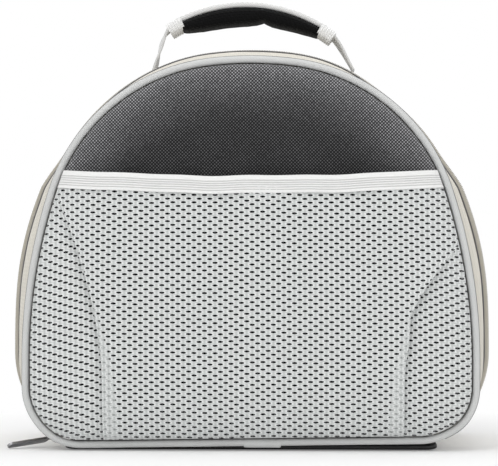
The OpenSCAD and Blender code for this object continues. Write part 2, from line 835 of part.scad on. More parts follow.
module handle_strap() {
    color([0.83, 0.83, 0.83])
        difference() {
            union() {
                across_strap()
                    curve_band(grip_curve_r - strap_t, grip_curve_r, -bend_left, bend_right);
                across_strap()
                    leg(-bend_left, [-foot_x, pivot_z + soft_gap], -1);
                across_strap()
                    leg(bend_right, [foot_x, pivot_z + soft_gap], 1);
            }
            tip_clearance();
        }
}

core_out = grip_curve_r - strap_t - wrap_t;
core_in = core_out - core_t;
grip_from = -bend_left + cuff_angle / 2;
grip_to = bend_right - cuff_angle / 2;
core_w = grip_w - 2 * wrap_t;

module handle_core() {
    color([0.2, 0.2, 0.2])
        along_y(handle_y - core_w / 2 + seam, handle_y + core_w / 2 - seam)
            curve_band(core_in + lay_gap, core_out - lay_gap, grip_from + 0.5, grip_to - 0.5);
}

module handle_grip() {
    color([0.05, 0.05, 0.05])
        difference() {
            along_y(handle_y - grip_w / 2, handle_y + grip_w / 2)
                curve_band(core_in - wrap_t, core_out + wrap_t - lay_gap, grip_from, grip_to);
            along_y(handle_y - core_w / 2, handle_y + core_w / 2)
                curve_band(core_in, core_out, grip_from - 1, grip_to + 1);
        }
}

module grip_cuffs() {
    cuff_t = 0.8;
    inner_gap = 0.1;
    color([0.71, 0.71, 0.71])
        for (a0 = [-bend_left, bend_right - cuff_angle])
            difference() {
                along_y(handle_y - grip_w / 2 - cuff_t - inner_gap, handle_y + grip_w / 2 + cuff_t + inner_gap)
                    curve_band(core_in - wrap_t - cuff_t - inner_gap, grip_curve_r + cuff_t + inner_gap, a0,
                        a0 + cuff_angle);
                along_y(handle_y - grip_w / 2 - inner_gap, handle_y + grip_w / 2 + inner_gap)
                    curve_band(core_in - wrap_t - inner_gap, grip_curve_r + inner_gap, a0 - 1, a0 + cuff_angle + 1);
            }
}

// The tabs sewn to the body's crown, ridged so that the strap can tip on them
module handle_anchors() {
    patch = strap_w - 1;
    patch_t = 1.2;
    slope = slope_at(ring_loop(), foot_x);
    color([0.78, 0.78, 0.78])
        for (side = [-1, 1])
            union() {
                translate([side * foot_x, handle_y, crown_z])
                    rotate([0, side * slope, 0])
                        translate([-patch / 2, -strap_w / 2, lay_gap])
                            cube([patch, strap_w, patch_t]);
                difference() {
                    translate([side * foot_x - strap_t / 2, handle_y - strap_w / 2, crown_z + patch_t])
                        cube([strap_t, strap_w, stub_h - patch_t]);
                    for (way = [-1, 1])
                        translate([side * foot_x, handle_y, pivot_z])
                            rotate([-way * handle_tip / 2, 0, 0])
                                translate([-strap_t, way > 0 ? 0 : -strap_w, 0])
                                    cube([2 * strap_t, strap_w, strap_w]);
                }
            }
}

front_shell();
front_lining();
pocket_net_left();
pocket_net_centre();
pocket_net_right();
pocket_band();
front_piping();
piping_joint_cover();
front_gusset();
front_zip_tape();
front_zip_coil();
rear_zip_tape();
rear_zip_coil();
zip_end_stops();
zip_slider();
zip_pull();
rear_gusset();
gusset_lining();
frame_hoops();
rear_piping();
rear_panel();
rear_lining();
rear_window_mesh();
base_panel();
base_board();
door_sill();
handle_strap();
handle_core();
handle_grip();
grip_cuffs();
handle_anchors();
perch_bar();
perch_saddles();
saddle_rivets();
floor_pad();
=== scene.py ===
"""Looks of the bird travel carrier: fabrics, net, zip, handle, cabin fittings and a plain studio.

Run as a script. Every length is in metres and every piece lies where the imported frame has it.
"""

import json
import math

import bmesh
import bpy
import numpy as np
from bpy.props import FloatProperty, FloatVectorProperty, IntProperty, PointerProperty
from mathutils import Matrix, Vector, noise


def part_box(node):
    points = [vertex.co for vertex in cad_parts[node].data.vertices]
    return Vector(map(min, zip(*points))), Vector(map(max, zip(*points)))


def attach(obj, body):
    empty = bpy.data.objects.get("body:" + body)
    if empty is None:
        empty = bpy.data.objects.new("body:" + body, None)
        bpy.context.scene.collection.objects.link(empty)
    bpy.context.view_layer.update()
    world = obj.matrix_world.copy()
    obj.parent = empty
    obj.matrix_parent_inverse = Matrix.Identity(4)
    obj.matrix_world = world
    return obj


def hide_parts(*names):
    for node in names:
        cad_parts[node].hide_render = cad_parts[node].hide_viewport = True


bl_info = {
    "name": "Bird Travel Carrier",
    "version": (1, 0, 0),
    "blender": (4, 5, 0),
    "location": "View3D > Sidebar > Carrier",
    "description": "Builds the fabrics, net, zip, handle and fittings of an arch-shaped bird carrier",
    "category": "Object",
}

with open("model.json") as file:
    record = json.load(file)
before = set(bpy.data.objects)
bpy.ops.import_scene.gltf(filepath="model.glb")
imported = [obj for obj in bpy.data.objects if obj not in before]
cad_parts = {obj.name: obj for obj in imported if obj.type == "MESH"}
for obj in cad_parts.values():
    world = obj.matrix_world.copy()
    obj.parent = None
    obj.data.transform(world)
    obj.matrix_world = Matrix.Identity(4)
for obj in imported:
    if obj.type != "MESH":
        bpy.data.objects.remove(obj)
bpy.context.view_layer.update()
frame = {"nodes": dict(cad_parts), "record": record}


# ---- properties ----


def length(name, description, default):
    """A length that a user would change."""
    return FloatProperty(name=name, description=description, default=default, precision=5, unit="LENGTH",
                         subtype="DISTANCE")


def degrees(name, description, default):
    """An angle that a user would change, given here in degrees."""
    return FloatProperty(name=name, description=description, default=math.radians(default), subtype="ANGLE")


def srgb(red, green, blue):
    """Linear colour with alpha 1 from 8-bit screen values."""
    def linear(v):
        v = v / 255
        return v / 12.92 if v <= 0.04045 else ((v + 0.055) / 1.055) ** 2.4
    return (linear(red), linear(green), linear(blue), 1.0)


def tint(name, description, default):
    """A colour that a user would change."""
    return FloatVectorProperty(name=name, description=description, default=default, size=4, min=0, max=1,
                               subtype="COLOR")


class CarrierOutline(bpy.types.PropertyGroup):
    """Outlines of the front panel and of the body, as in the frame."""

    panel_half_w: length("Panel half width", "Half width of the front panel", 0.137)
    panel_crest: length("Panel crest", "Height of the front panel's crest", 0.240)
    panel_foot: length("Panel foot", "Height of the front panel's lower edge", 0.0076)
    foot_rise: length("Foot rise", "Rise of the panel's lower edge towards its right end", 0.0019)
    panel_corner_r: length("Panel corner", "Radius of the front panel's lower corners", 0.032)
    panel_widest: length("Panel widest", "Height at which the panel is widest", 0.056)
    dome_rise: length("Dome rise", "How far the moulded panel stands proud of its piping", 0.012)
    shell_wall: length("Shell wall", "Wall of the moulded panels", 0.004)
    ring_half_w: length("Body half width", "Half width of the body at the zip", 0.1472)
    ring_crest: length("Body crest", "Crest height of the body at the zip", 0.2484)
    ring_foot: length("Body foot", "Height of the body's underside at the zip", 0.0034)
    ring_corner_r: length("Body corner", "Radius of the body's lower corners", 0.057)
    ring_widest: length("Body widest", "Height at which the body is widest", 0.070)
    hip_swell: length("Hip swell", "How far the body stands outside the panel at its hips", 0.0125)
    hip_angle: degrees("Hip angle", "Direction in which the hips face, above the level", 11)
    shoulder_swell: length("Shoulder swell", "How far it stands outside the panel at its shoulders", 0.0058)
    shoulder_angle: degrees("Shoulder angle", "Direction in which the shoulders face", 31)
    slack: length("Slack", "How far the slack cloth sits in at the body's right shoulder", 0.0030)
    side_r: length("Side radius", "Radius of the long side curve, at the panel", 0.339)
    shoulder_r: length("Shoulder radius", "Radius of the shoulder curve, at the panel", 0.114)
    crest_r: length("Crest radius", "Radius of the crest curve, at the panel", 0.213)
    body_depth: length("Body depth", "Distance between the two piping rings", 0.144)
    zip_setback: length("Zip setback", "Distance from the front piping back to the zip", 0.026)
    rear_taper: length("Rear taper", "Length over which the rear end narrows", 0.026)
    piping_r: length("Piping radius", "Radius of the piping cord", 0.0022)
    piping_gap: length("Piping gap", "Dark groove between panel and piping", 0.0006)
    # Painted shade: the dark cords along the front wall's seams stand for the shade in those grooves.
    seam_shade_line_r: length("Seam thread", "Radius of the dark threads at the front wall's seams", 0.0004)
    gusset_wall: length("Gusset wall", "Thickness of the padded side wall", 0.0022)
    lining_wall: length("Lining wall", "Thickness of the lining", 0.0008)
    window_share: FloatProperty(name="Window share", description="The window's share of the rear panel",
                                default=0.62, min=0.4, max=0.75, subtype="FACTOR")


class CarrierPocket(bpy.types.PropertyGroup):
    """The net pocket and its elastic band."""

    pitch_across: length("Pitch across", "Distance between neighbouring gaps in a row", 0.00645)
    pitch_up: length("Pitch up", "Distance between rows of gaps", 0.0023)
    gap_half_w: length("Gap half width", "Half width of one gap", 0.00160)
    gap_half_h: length("Gap half height", "Half height of one gap", 0.00074)
    rim_w: length("Rim width", "Width of the raised thread round each gap", 0.00042)
    rim_rise: length("Rim rise", "Height of the raised thread round each gap", 0.00032)
    net_t: length("Net thickness", "Thickness of the net between its rims", 0.0005)
    mouth_depth: length("Pocket depth", "How far the pocket stands off the panel at its mouth", 0.0076)
    net_clear: length("Net clearance", "Room between the net and the panel at its foot", 0.0005)
    net_wall: length("Net stand-in", "Thickness of the frame's own net", 0.0008)
    fold_depth: length("Fold depth", "Depth of the soft folds under the band", 0.0009)
    left_pleat: length("Left pleat", "Distance of the left pleat from the middle, at the bottom", 0.0907)
    right_pleat: length("Right pleat", "Distance of the right pleat from the middle, at the bottom", 0.0950)
    pleat_lap: length("Pleat lap", "Width of the double layer at the pleat's bottom", 0.0094)
    pleat_tuck: length("Pleat tuck", "How far the side portions reach under the middle one", 0.0025)
    pleat_squeeze: length("Pleat squeeze", "How far the gaps crowd together at a pleat", 0.0022)
    band_top: length("Band top", "Height of the band's top edge at its ends", 0.174)
    band_h: length("Band height", "Height of the elastic band", 0.011)
    band_sag: length("Band sag", "How far the band sags at its middle", 0.0038)
    band_t: length("Band thickness", "Thickness of the elastic band", 0.0014)


class CarrierHandle(bpy.types.PropertyGroup):
    """The webbing handle with its padded grip."""

    curve_r: length("Curve radius", "Radius of the strap's outer face over the grip", 0.097)
    top: length("Top", "Height of the handle's top", 0.2850)
    lean: length("Lean", "How far the handle's top leans to the left", 0.0054)
    bend_left: degrees("Left bend", "Angle at which the strap leaves the curve at the left", 31.5)
    bend_right: degrees("Right bend", "Angle at which the strap leaves the curve at the right", 37)
    foot_x: length("Foot", "Half distance between the handle's feet", 0.065)
    middle_y: length("Setback", "Distance of the handle's middle behind the body's middle", 0.008)
    strap_w: length("Strap width", "Width of the webbing", 0.025)
    strap_t: length("Strap thickness", "Thickness of the webbing over the grip", 0.0031)
    leg_t: length("Leg thickness", "Thickness of the webbing at its feet", 0.0016)
    grip_w: length("Grip width", "Width of the padded grip", 0.030)
    cuff_angle: degrees("Cuff length", "Length of each ribbed cuff, as an angle of the curve", 6.4)
    cuff_ribs: IntProperty(name="Cuff ribs", description="Ribs wound round each cuff", default=6,
                           min=3, max=14)


class CarrierZip(bpy.types.PropertyGroup):
    """The zip round the arch."""

    tape_w: length("Tape width", "Width of each zip tape", 0.010)
    tape_t: length("Tape thickness", "Thickness of each zip tape", 0.0008)
    tooth_pitch: length("Tooth pitch", "Distance between neighbouring teeth of one half", 0.0021)
    end_angle: degrees("Zip end", "Angle up the lower corner at which the zip ends", 25)
    stitch_pitch: length("Stitch pitch", "Length of one stitch with its gap", 0.0031)
    stitch_r: length("Stitch thickness", "Radius of the sewing thread", 0.00026)


class CarrierColours(bpy.types.PropertyGroup):
    """Colours of the fabrics and fittings."""

    dark_fabric: tint("Dark fabric", "Moulded front and rear panels", srgb(18, 18, 19))
    dark_thread: tint("Dark fabric thread", "Raised threads of the dark fabric", srgb(200, 200, 203))
    net: tint("Net", "Raised threads of the pocket net", srgb(221, 223, 222))
    # Painted shade: the net's tone between its raised threads, darker where shade falls between them.
    net_valley_shade: tint("Net valleys", "Net between its raised threads", srgb(184, 187, 186))
    elastic: tint("Elastic", "Ribbed band of the pocket", srgb(232, 232, 231))
    piping: tint("Piping", "Cord cover round both panels", srgb(202, 203, 202))
    beige: tint("Beige fabric", "Side walls", srgb(216, 212, 202))
    tape: tint("Zip tape", "Woven tape of the zip", srgb(184, 179, 167))
    coil: tint("Zip coil", "Nylon coil of the zip", srgb(150, 144, 130))
    metal: tint("Gunmetal", "Slider and pull", srgb(150, 150, 152))
    sole: tint("Sole", "Black base", srgb(9, 9, 10))
    webbing: tint("Webbing", "Handle strap", srgb(220, 220, 219))
    cuff: tint("Cuff", "Ribbed cuffs of the handle", srgb(232, 232, 231))
    grip: tint("Grip wrap", "Wrap of the padded grip", srgb(10, 10, 11))
    lining: tint("Lining", "Inner fabric", srgb(92, 92, 95))
    wood: tint("Wood", "Perch", srgb(196, 158, 112))
    plastic: tint("Plastic", "Perch saddles", srgb(70, 70, 72))
    pad: tint("Pad", "Floor pad", srgb(196, 202, 206))
    steel: tint("Spring steel", "Hoops of the arch", srgb(150, 152, 155))
    floor: tint("Floor", "Studio floor", (0.72, 0.72, 0.72, 1.0))


def outline():
    return bpy.context.scene.carrier_outline


def pocket():
    return bpy.context.scene.carrier_pocket


def handle():
    return bpy.context.scene.carrier_handle


def zipper():
    return bpy.context.scene.carrier_zip


def colours():
    return bpy.context.scene.carrier_colours


# ---- outlines in the X-Z plane ----

PANEL_MIDDLE = np.array([0.0, 0.118])
CORNER_STEPS = 22
SIDE_STEPS = 26
SHOULDER_STEPS = 30
CREST_STEPS = 18
FOOT_STEPS = 44
# The panel's lower edge lies this much higher, within a reach of its foot.
FOOT_LIFT = 0.0004
FOOT_REACH = 0.010
# Where the right shoulder is slack: its height, its reach up and down, where it begins and how soon
# it is full.
SLACK_HEIGHT = 0.225
SLACK_REACH = 0.021
SLACK_FROM = 0.020
SLACK_FULL = 0.060
TAPE_LAP = 0.002
X_WAY = (1.0, 0.0, 0.0)
Y_WAY = (0.0, 1.0, 0.0)
Z_WAY = (0.0, 0.0, 1.0)


def ray(a):
    """Unit vectors at angles in degrees."""
    a = np.radians(a)
    return np.stack([np.cos(a), np.sin(a)], axis=-1)


def eased(low, high, share):
    """A smooth change from low to high."""
    return low + (high - low) * (1 - np.cos(np.pi * np.clip(share, 0, 1))) / 2


def circles_meet(p, rp, q, rq):
    """Where two circles cross, on the right of the way from p to q."""
    d = np.linalg.norm(q - p)
    u = (q - p) / d
    a = (rp * rp - rq * rq + d * d) / (2 * d)
    return p + a * u + math.sqrt(rp * rp - a * a) * np.array([u[1], -u[0]])


def half_arch(corner, corner_r, start, widest, swell):
    """Right half of an arch, from its lower corner to its crest; swell tells how far it lies
    outside the panel's three arcs, by the direction in degrees in which it faces."""
    o = outline()
    side = np.array([o.panel_half_w - o.side_r, o.panel_widest])
    top = np.array([0.0, o.panel_crest - o.crest_r])
    shoulder = circles_meet(top, o.crest_r - o.shoulder_r, side, o.side_r - o.shoulder_r)
    side_end = math.degrees(math.atan2(shoulder[1] - side[1], shoulder[0] - side[0]))
    shoulder_end = math.degrees(math.atan2(shoulder[1] - top[1], shoulder[0] - top[0]))
    first = math.degrees(math.asin((widest - side[1]) / (o.side_r + float(swell(np.zeros(1))[0]))))
    rows = [corner + corner_r * ray(np.linspace(start, 0, CORNER_STEPS + 1))]
    for middle, r, a0, a1, steps, skip in (
        (side, o.side_r, first, side_end, SIDE_STEPS, 0),
        (shoulder, o.shoulder_r, side_end, shoulder_end, SHOULDER_STEPS, 1),
        (top, o.crest_r, shoulder_end, 90, CREST_STEPS, 1),
    ):
        a = np.linspace(a0, a1, steps + 1)[skip:]
        rows.append(middle + (r + swell(a))[:, None] * ray(a))
    return np.concatenate(rows)


def whole_arch(half, closed):
    """Both halves of an arch; a closed one gets its lower edge too."""
    left = half[-2::-1] * np.array([-1, 1])
    loop = np.concatenate([half, left])
    if not closed:
        return loop
    t = np.arange(1, FOOT_STEPS)[:, None] / FOOT_STEPS
    return np.concatenate([loop, loop[-1] * (1 - t) + loop[0] * t])


def panel_loop(k=0.0, start=-90.0):
    """The front panel's outline, grown by k."""
    o = outline()
    corner = np.array([o.panel_half_w - o.panel_corner_r, o.panel_foot + o.panel_corner_r])
    half = half_arch(corner, o.panel_corner_r + k, start, o.panel_widest, lambda a: np.full(len(a), k))
    loop = whole_arch(half, start == -90.0)
    low = np.exp(-((loop[:, 1] + k - o.panel_foot) / FOOT_REACH) ** 2)
    loop[:, 1] += (FOOT_LIFT + o.foot_rise * loop[:, 0] / o.panel_half_w) * low
    return loop


def ring_swell(a):
    """How far the body's outline lies outside the panel's."""
    o = outline()
    hip = math.degrees(o.hip_angle)
    shoulder = math.degrees(o.shoulder_angle)
    low = eased(o.ring_half_w - o.panel_half_w, o.hip_swell, a / hip)
    middle = eased(o.hip_swell, o.shoulder_swell, (a - hip) / (shoulder - hip))
    high = eased(o.shoulder_swell, o.ring_crest - o.panel_crest, (a - shoulder) / (90 - shoulder))
    return np.where(a < hip, low, np.where(a < shoulder, middle, high))


def ring_loop(k=0.0, start=-90.0):
    """The body's outline at the zip, grown by k."""
    o = outline()
    corner = np.array([o.ring_half_w - o.ring_corner_r, o.ring_foot + o.ring_corner_r])
    half = half_arch(corner, o.ring_corner_r + k, start, o.ring_widest, lambda a: ring_swell(a) + k)
    loop = whole_arch(half, start == -90.0)
    slack = np.exp(-((loop[:, 1] - SLACK_HEIGHT) / SLACK_REACH) ** 2)
    loop[:, 0] -= o.slack * slack * np.clip((loop[:, 0] - SLACK_FROM) / SLACK_FULL, 0, 1)
    return loop


def shrunk(loop, share):
    """A loop drawn in towards the panel's middle."""
    return PANEL_MIDDLE + share * (loop - PANEL_MIDDLE)


def at_y(loop, y):
    """Points in space from points (x, z) and one y, and directions in space where y is 0."""
    return np.stack([loop[:, 0], np.full(len(loop), y), loop[:, 1]], axis=1)


def outward(loop, closed=True):
    """Unit vectors pointing out of a loop that runs anticlockwise seen from the front."""
    if closed:
        d = np.roll(loop, -1, axis=0) - np.roll(loop, 1, axis=0)
    else:
        d = np.gradient(loop, axis=0)
    n = np.stack([d[:, 1], -d[:, 0]], axis=1)
    return n / np.linalg.norm(n, axis=1)[:, None]


def front_y():
    return -outline().body_depth / 2


def rear_y():
    return outline().body_depth / 2


def zip_y():
    return front_y() + outline().zip_setback


def gusset_edge():
    """Distance from the zip's middle to the edges of the side walls, under the tapes."""
    return zipper().tape_w - TAPE_LAP


def zip_start():
    """Angle up the lower corners, in degrees, at which the zip starts and ends."""
    return -90 + math.degrees(zipper().end_angle)


# ---- meshes ----


def new_object(name, data):
    """An object of its own in the scene."""
    obj = bpy.data.objects.new(name, data)
    bpy.context.scene.collection.objects.link(obj)
    return obj


def add_object(name, verts, faces, uvs=None, sharp=45.0):
    """A new mesh object. uvs holds one (u, v) in metres for each face corner."""
    mesh = bpy.data.meshes.new(name)
    mesh.from_pydata(np.asarray(verts, dtype=float).tolist(), [], [list(map(int, f)) for f in faces])
    if uvs is not None:
        layer = mesh.uv_layers.new(name="Cloth")
        layer.uv.foreach_set("vector", np.asarray(uvs, dtype=np.float32).ravel())
    mesh.validate()
    mesh.shade_smooth()
    mesh.set_sharp_from_angle(angle=math.radians(sharp))
    return new_object(name, mesh)


def mark(obj, key, values):
    """Keeps one number for each point of a mesh, for its finish to read."""
    made = obj.data.attributes.new(key, "FLOAT", "POINT")
    made.data.foreach_set("value", np.asarray(values, dtype=np.float32))
    return obj


def face_out(obj):
    """Turns every face of a closed mesh outwards."""
    bm = bmesh.new()
    bm.from_mesh(obj.data)
    bmesh.ops.recalc_face_normals(bm, faces=bm.faces)
    bm.to_mesh(obj.data)
    bm.free()
    return obj


def path_lengths(points, closed):
    """Distance along a path at each point, and once more at its end if it is closed."""
    steps = np.linalg.norm(np.diff(points, axis=0), axis=1)
    if closed:
        steps = np.append(steps, np.linalg.norm(points[0] - points[-1]))
    return np.concatenate([[0.0], np.cumsum(steps)])


def grid_quads(rows, n, closed):
    """Quads of a grid of rows by n points, and the (row, column) of each corner."""
    i, j = np.meshgrid(np.arange(rows - 1), np.arange(n if closed else n - 1), indexing="ij")
    i = i.ravel()
    j = j.ravel()
    k = (j + 1) % n
    quads = np.stack([i * n + j, i * n + k, (i + 1) * n + k, (i + 1) * n + j], axis=1)
    corners = ((i, j), (i, j + 1), (i + 1, j + 1), (i + 1, j))
    return quads, np.stack([np.stack(corner, 1) for corner in corners], axis=1)


def surface_uvs(rows, spots, closed):
    """Corner coordinates in metres: along the middle row, and across the rows."""
    rows = np.asarray(rows)
    along = path_lengths(rows[len(rows) // 2], closed)
    middle = rows[:, rows.shape[1] // 3]
    across = path_lengths(middle, False)
    return np.stack([along[spots[..., 1]], across[spots[..., 0]]], axis=-1).reshape(-1, 2)


def shell(name, outer, inner, closed=True, sharp=45.0):
    """A wall between two grids of points; open walls get ends."""
    outer = np.asarray(outer, dtype=float)
    inner = np.asarray(inner, dtype=float)
    rows, n = outer.shape[:2]
    m = rows * n
    front, spots = grid_quads(rows, n, closed)
    uv_front = surface_uvs(outer, spots, closed).reshape(-1, 4, 2)
    back = front[:, ::-1] + m
    uv_back = uv_front[:, ::-1]
    j = np.arange(n if closed else n - 1)
    k = (j + 1) % n
    low = np.stack([j, m + j, m + k, k], 1)
    top = (rows - 1) * n
    high = np.stack([top + k, m + top + k, m + top + j, top + j], 1)
    strips = [low, high]
    if not closed:
        i = np.arange(rows - 1)
        strips.append(np.stack([i * n, (i + 1) * n, m + (i + 1) * n, m + i * n], 1))
        e = i * n + n - 1
        strips.append(np.stack([e + n, e, m + e, m + e + n], 1))
    edges = np.concatenate(strips)
    verts = np.concatenate([outer.reshape(-1, 3), inner.reshape(-1, 3)])
    uv_edges = np.stack([verts[edges][..., 0], verts[edges][..., 1] + verts[edges][..., 2]], -1)
    faces = np.concatenate([front, back, edges])
    uvs = np.concatenate([uv_front, uv_back, uv_edges]).reshape(-1, 2)
    return face_out(add_object(name, verts, faces, uvs, sharp))


def skin(name, rows, closed_rows=False, sharp=45.0):
    """One surface through closed rows of points; flat ends are capped, or the last row meets the first."""
    rows = np.asarray(rows, dtype=float)
    count, n = rows.shape[:2]
    ring = np.concatenate([rows, rows[:1]]) if closed_rows else rows
    quads, spots = grid_quads(len(ring), n, True)
    verts = rows.reshape(-1, 3)
    faces = (quads % len(verts)).tolist()
    uvs = surface_uvs(ring, spots, True).tolist()
    if not closed_rows:
        for first, order in ((0, 1), ((count - 1) * n, -1)):
            end = list(range(first, first + n))[::order]
            faces.append(end)
            uvs.extend(verts[end][:, 1:].tolist())
    return face_out(add_object(name, verts, faces, uvs, sharp))


def joined(name, parts):
    """Several objects as one mesh object."""
    bm = bmesh.new()
    for part in parts:
        mesh = part.data
        bm.from_mesh(mesh)
        bpy.data.objects.remove(part)
        bpy.data.meshes.remove(mesh)
    mesh = bpy.data.meshes.new(name)
    bm.to_mesh(mesh)
    bm.free()
    return new_object(name, mesh)


def copies(name, shape, origins, axes):
    """One small shape, given as points and faces, repeated at origins and sized by three axes each."""
    points = np.asarray(shape[0], dtype=float)
    verts = origins[:, None, :] + np.einsum("sk,pkj->psj", points, axes)
    faces = []
    for start in range(0, len(origins) * len(points), len(points)):
        faces.extend([[v + start for v in f] for f in shape[1]])
    return face_out(add_object(name, verts.reshape(-1, 3), faces, sharp=60.0))


def rounded_copy(name, node, voxel, passes):
    """A new piece shaped as a CAD node, its edges rounded off."""
    source = frame["nodes"][node]
    obj = source.copy()
    obj.data = source.data.copy()
    obj.name = name
    obj.data.name = name
    obj.parent = None
    bpy.context.scene.collection.objects.link(obj)
    obj.data.materials.clear()
    remesh = obj.modifiers.new("Round", "REMESH")
    remesh.mode = "VOXEL"
    remesh.voxel_size = voxel
    smooth = obj.modifiers.new("Ease", "SMOOTH")
    smooth.factor = 0.5
    smooth.iterations = passes
    graph = bpy.context.evaluated_depsgraph_get()
    rounded = bpy.data.meshes.new_from_object(obj.evaluated_get(graph))
    obj.modifiers.clear()
    old = obj.data
    obj.data = rounded
    bpy.data.meshes.remove(old)
    obj.data.shade_smooth()
    return obj


def tube_rows(path, radius, sides, side_way, up_way):
    """Rings of points round a path, across two directions that are given once or for each point."""
    a = 2 * np.pi * (np.arange(sides) + 0.5) / sides
    radius = np.broadcast_to(np.asarray(radius, dtype=float), (len(path),))
    side_way = np.broadcast_to(side_way, path.shape)[:, None, :]
    up_way = np.broadcast_to(up_way, path.shape)[:, None, :]
    ring = np.cos(a)[None, :, None] * side_way + np.sin(a)[None, :, None] * up_way
    return path[:, None, :] + radius[:, None, None] * ring


def flat_tube(name, loop, y, radius, sides=16, closed=True, wider=1.0):
    """A cord along a loop in a plane of constant Y; wider stretches its section in that plane."""
    side_way = at_y(outward(loop, closed), 0.0) * wider
    return skin(name, tube_rows(at_y(loop, y), radius, sides, side_way, Y_WAY), closed_rows=closed)


def along(path, spacing, closed, inset=0.0):
    """Evenly spaced places along a path, as the index of the point before and the share to the next."""
    s = path_lengths(path, closed)
    used = s[-1] - 2 * inset
    count = max(1, int(used / spacing))
    at = inset + (np.arange(count) + 0.5) * used / count
    i = np.clip(np.searchsorted(s, at) - 1, 0, len(s) - 2)
    f = (at - s[i]) / (s[i + 1] - s[i])
    return i, f


def between(values, i, f):
    """Values at the places that along gives."""
    n = len(values)
    return values[i] * (1 - f)[:, None] + values[(i + 1) % n] * f[:, None]


def unit(v):
    return v / np.linalg.norm(v, axis=-1, keepdims=True)


STITCH_LENGTH = 0.82
STITCH_RISE = 1.2
THREAD_SHAPE = (
    [(-0.5, 0, -0.2), (-0.3, -1, 0.5), (-0.3, 1, 0.5), (-0.3, 0, 1.1), (0, -1, 0.7), (0, 1, 0.7),
     (0, 0, 1.5), (0.3, -1, 0.5), (0.3, 1, 0.5), (0.3, 0, 1.1), (0.5, 0, -0.2)],
    [(0, 1, 3), (0, 3, 2), (1, 4, 6, 3), (3, 6, 5, 2), (4, 7, 9, 6), (6, 9, 8, 5), (7, 10, 9), (9, 10, 8),
     (0, 2, 5, 4, 1), (4, 5, 8, 10, 7)],
)


def stitches(name, path, normals, closed=False, inset=0.0):
    """A row of stitches lying on a surface along a path."""
    z = zipper()
    i, f = along(path, z.stitch_pitch, closed, inset)
    ahead = unit(path[(i + 1) % len(path)] - path[i])
    up = unit(between(np.broadcast_to(normals, path.shape), i, f))
    side = unit(np.cross(up, ahead))
    length_of = z.stitch_pitch * STITCH_LENGTH
    axes = np.stack([ahead * length_of, side * z.stitch_r, up * z.stitch_r * STITCH_RISE], axis=1)
    return copies(name, THREAD_SHAPE, between(path, i, f), axes)


def loop_stitches(name, loop, y, closed, inset=0.0):
    """Stitches on the outer face of a wall that follows a loop."""
    return stitches(name, at_y(loop, y), at_y(outward(loop, closed), 0.0), closed, inset)


def ripple(points, size, scale, seed):
    """Smooth noise of up to size at each point, the same on every run."""
    offset = Vector((seed * 3.1, seed * 1.7, seed * 2.3))
    return np.array([noise.noise(Vector(p) / scale + offset) for p in points]) * size


# ---- finishes ----


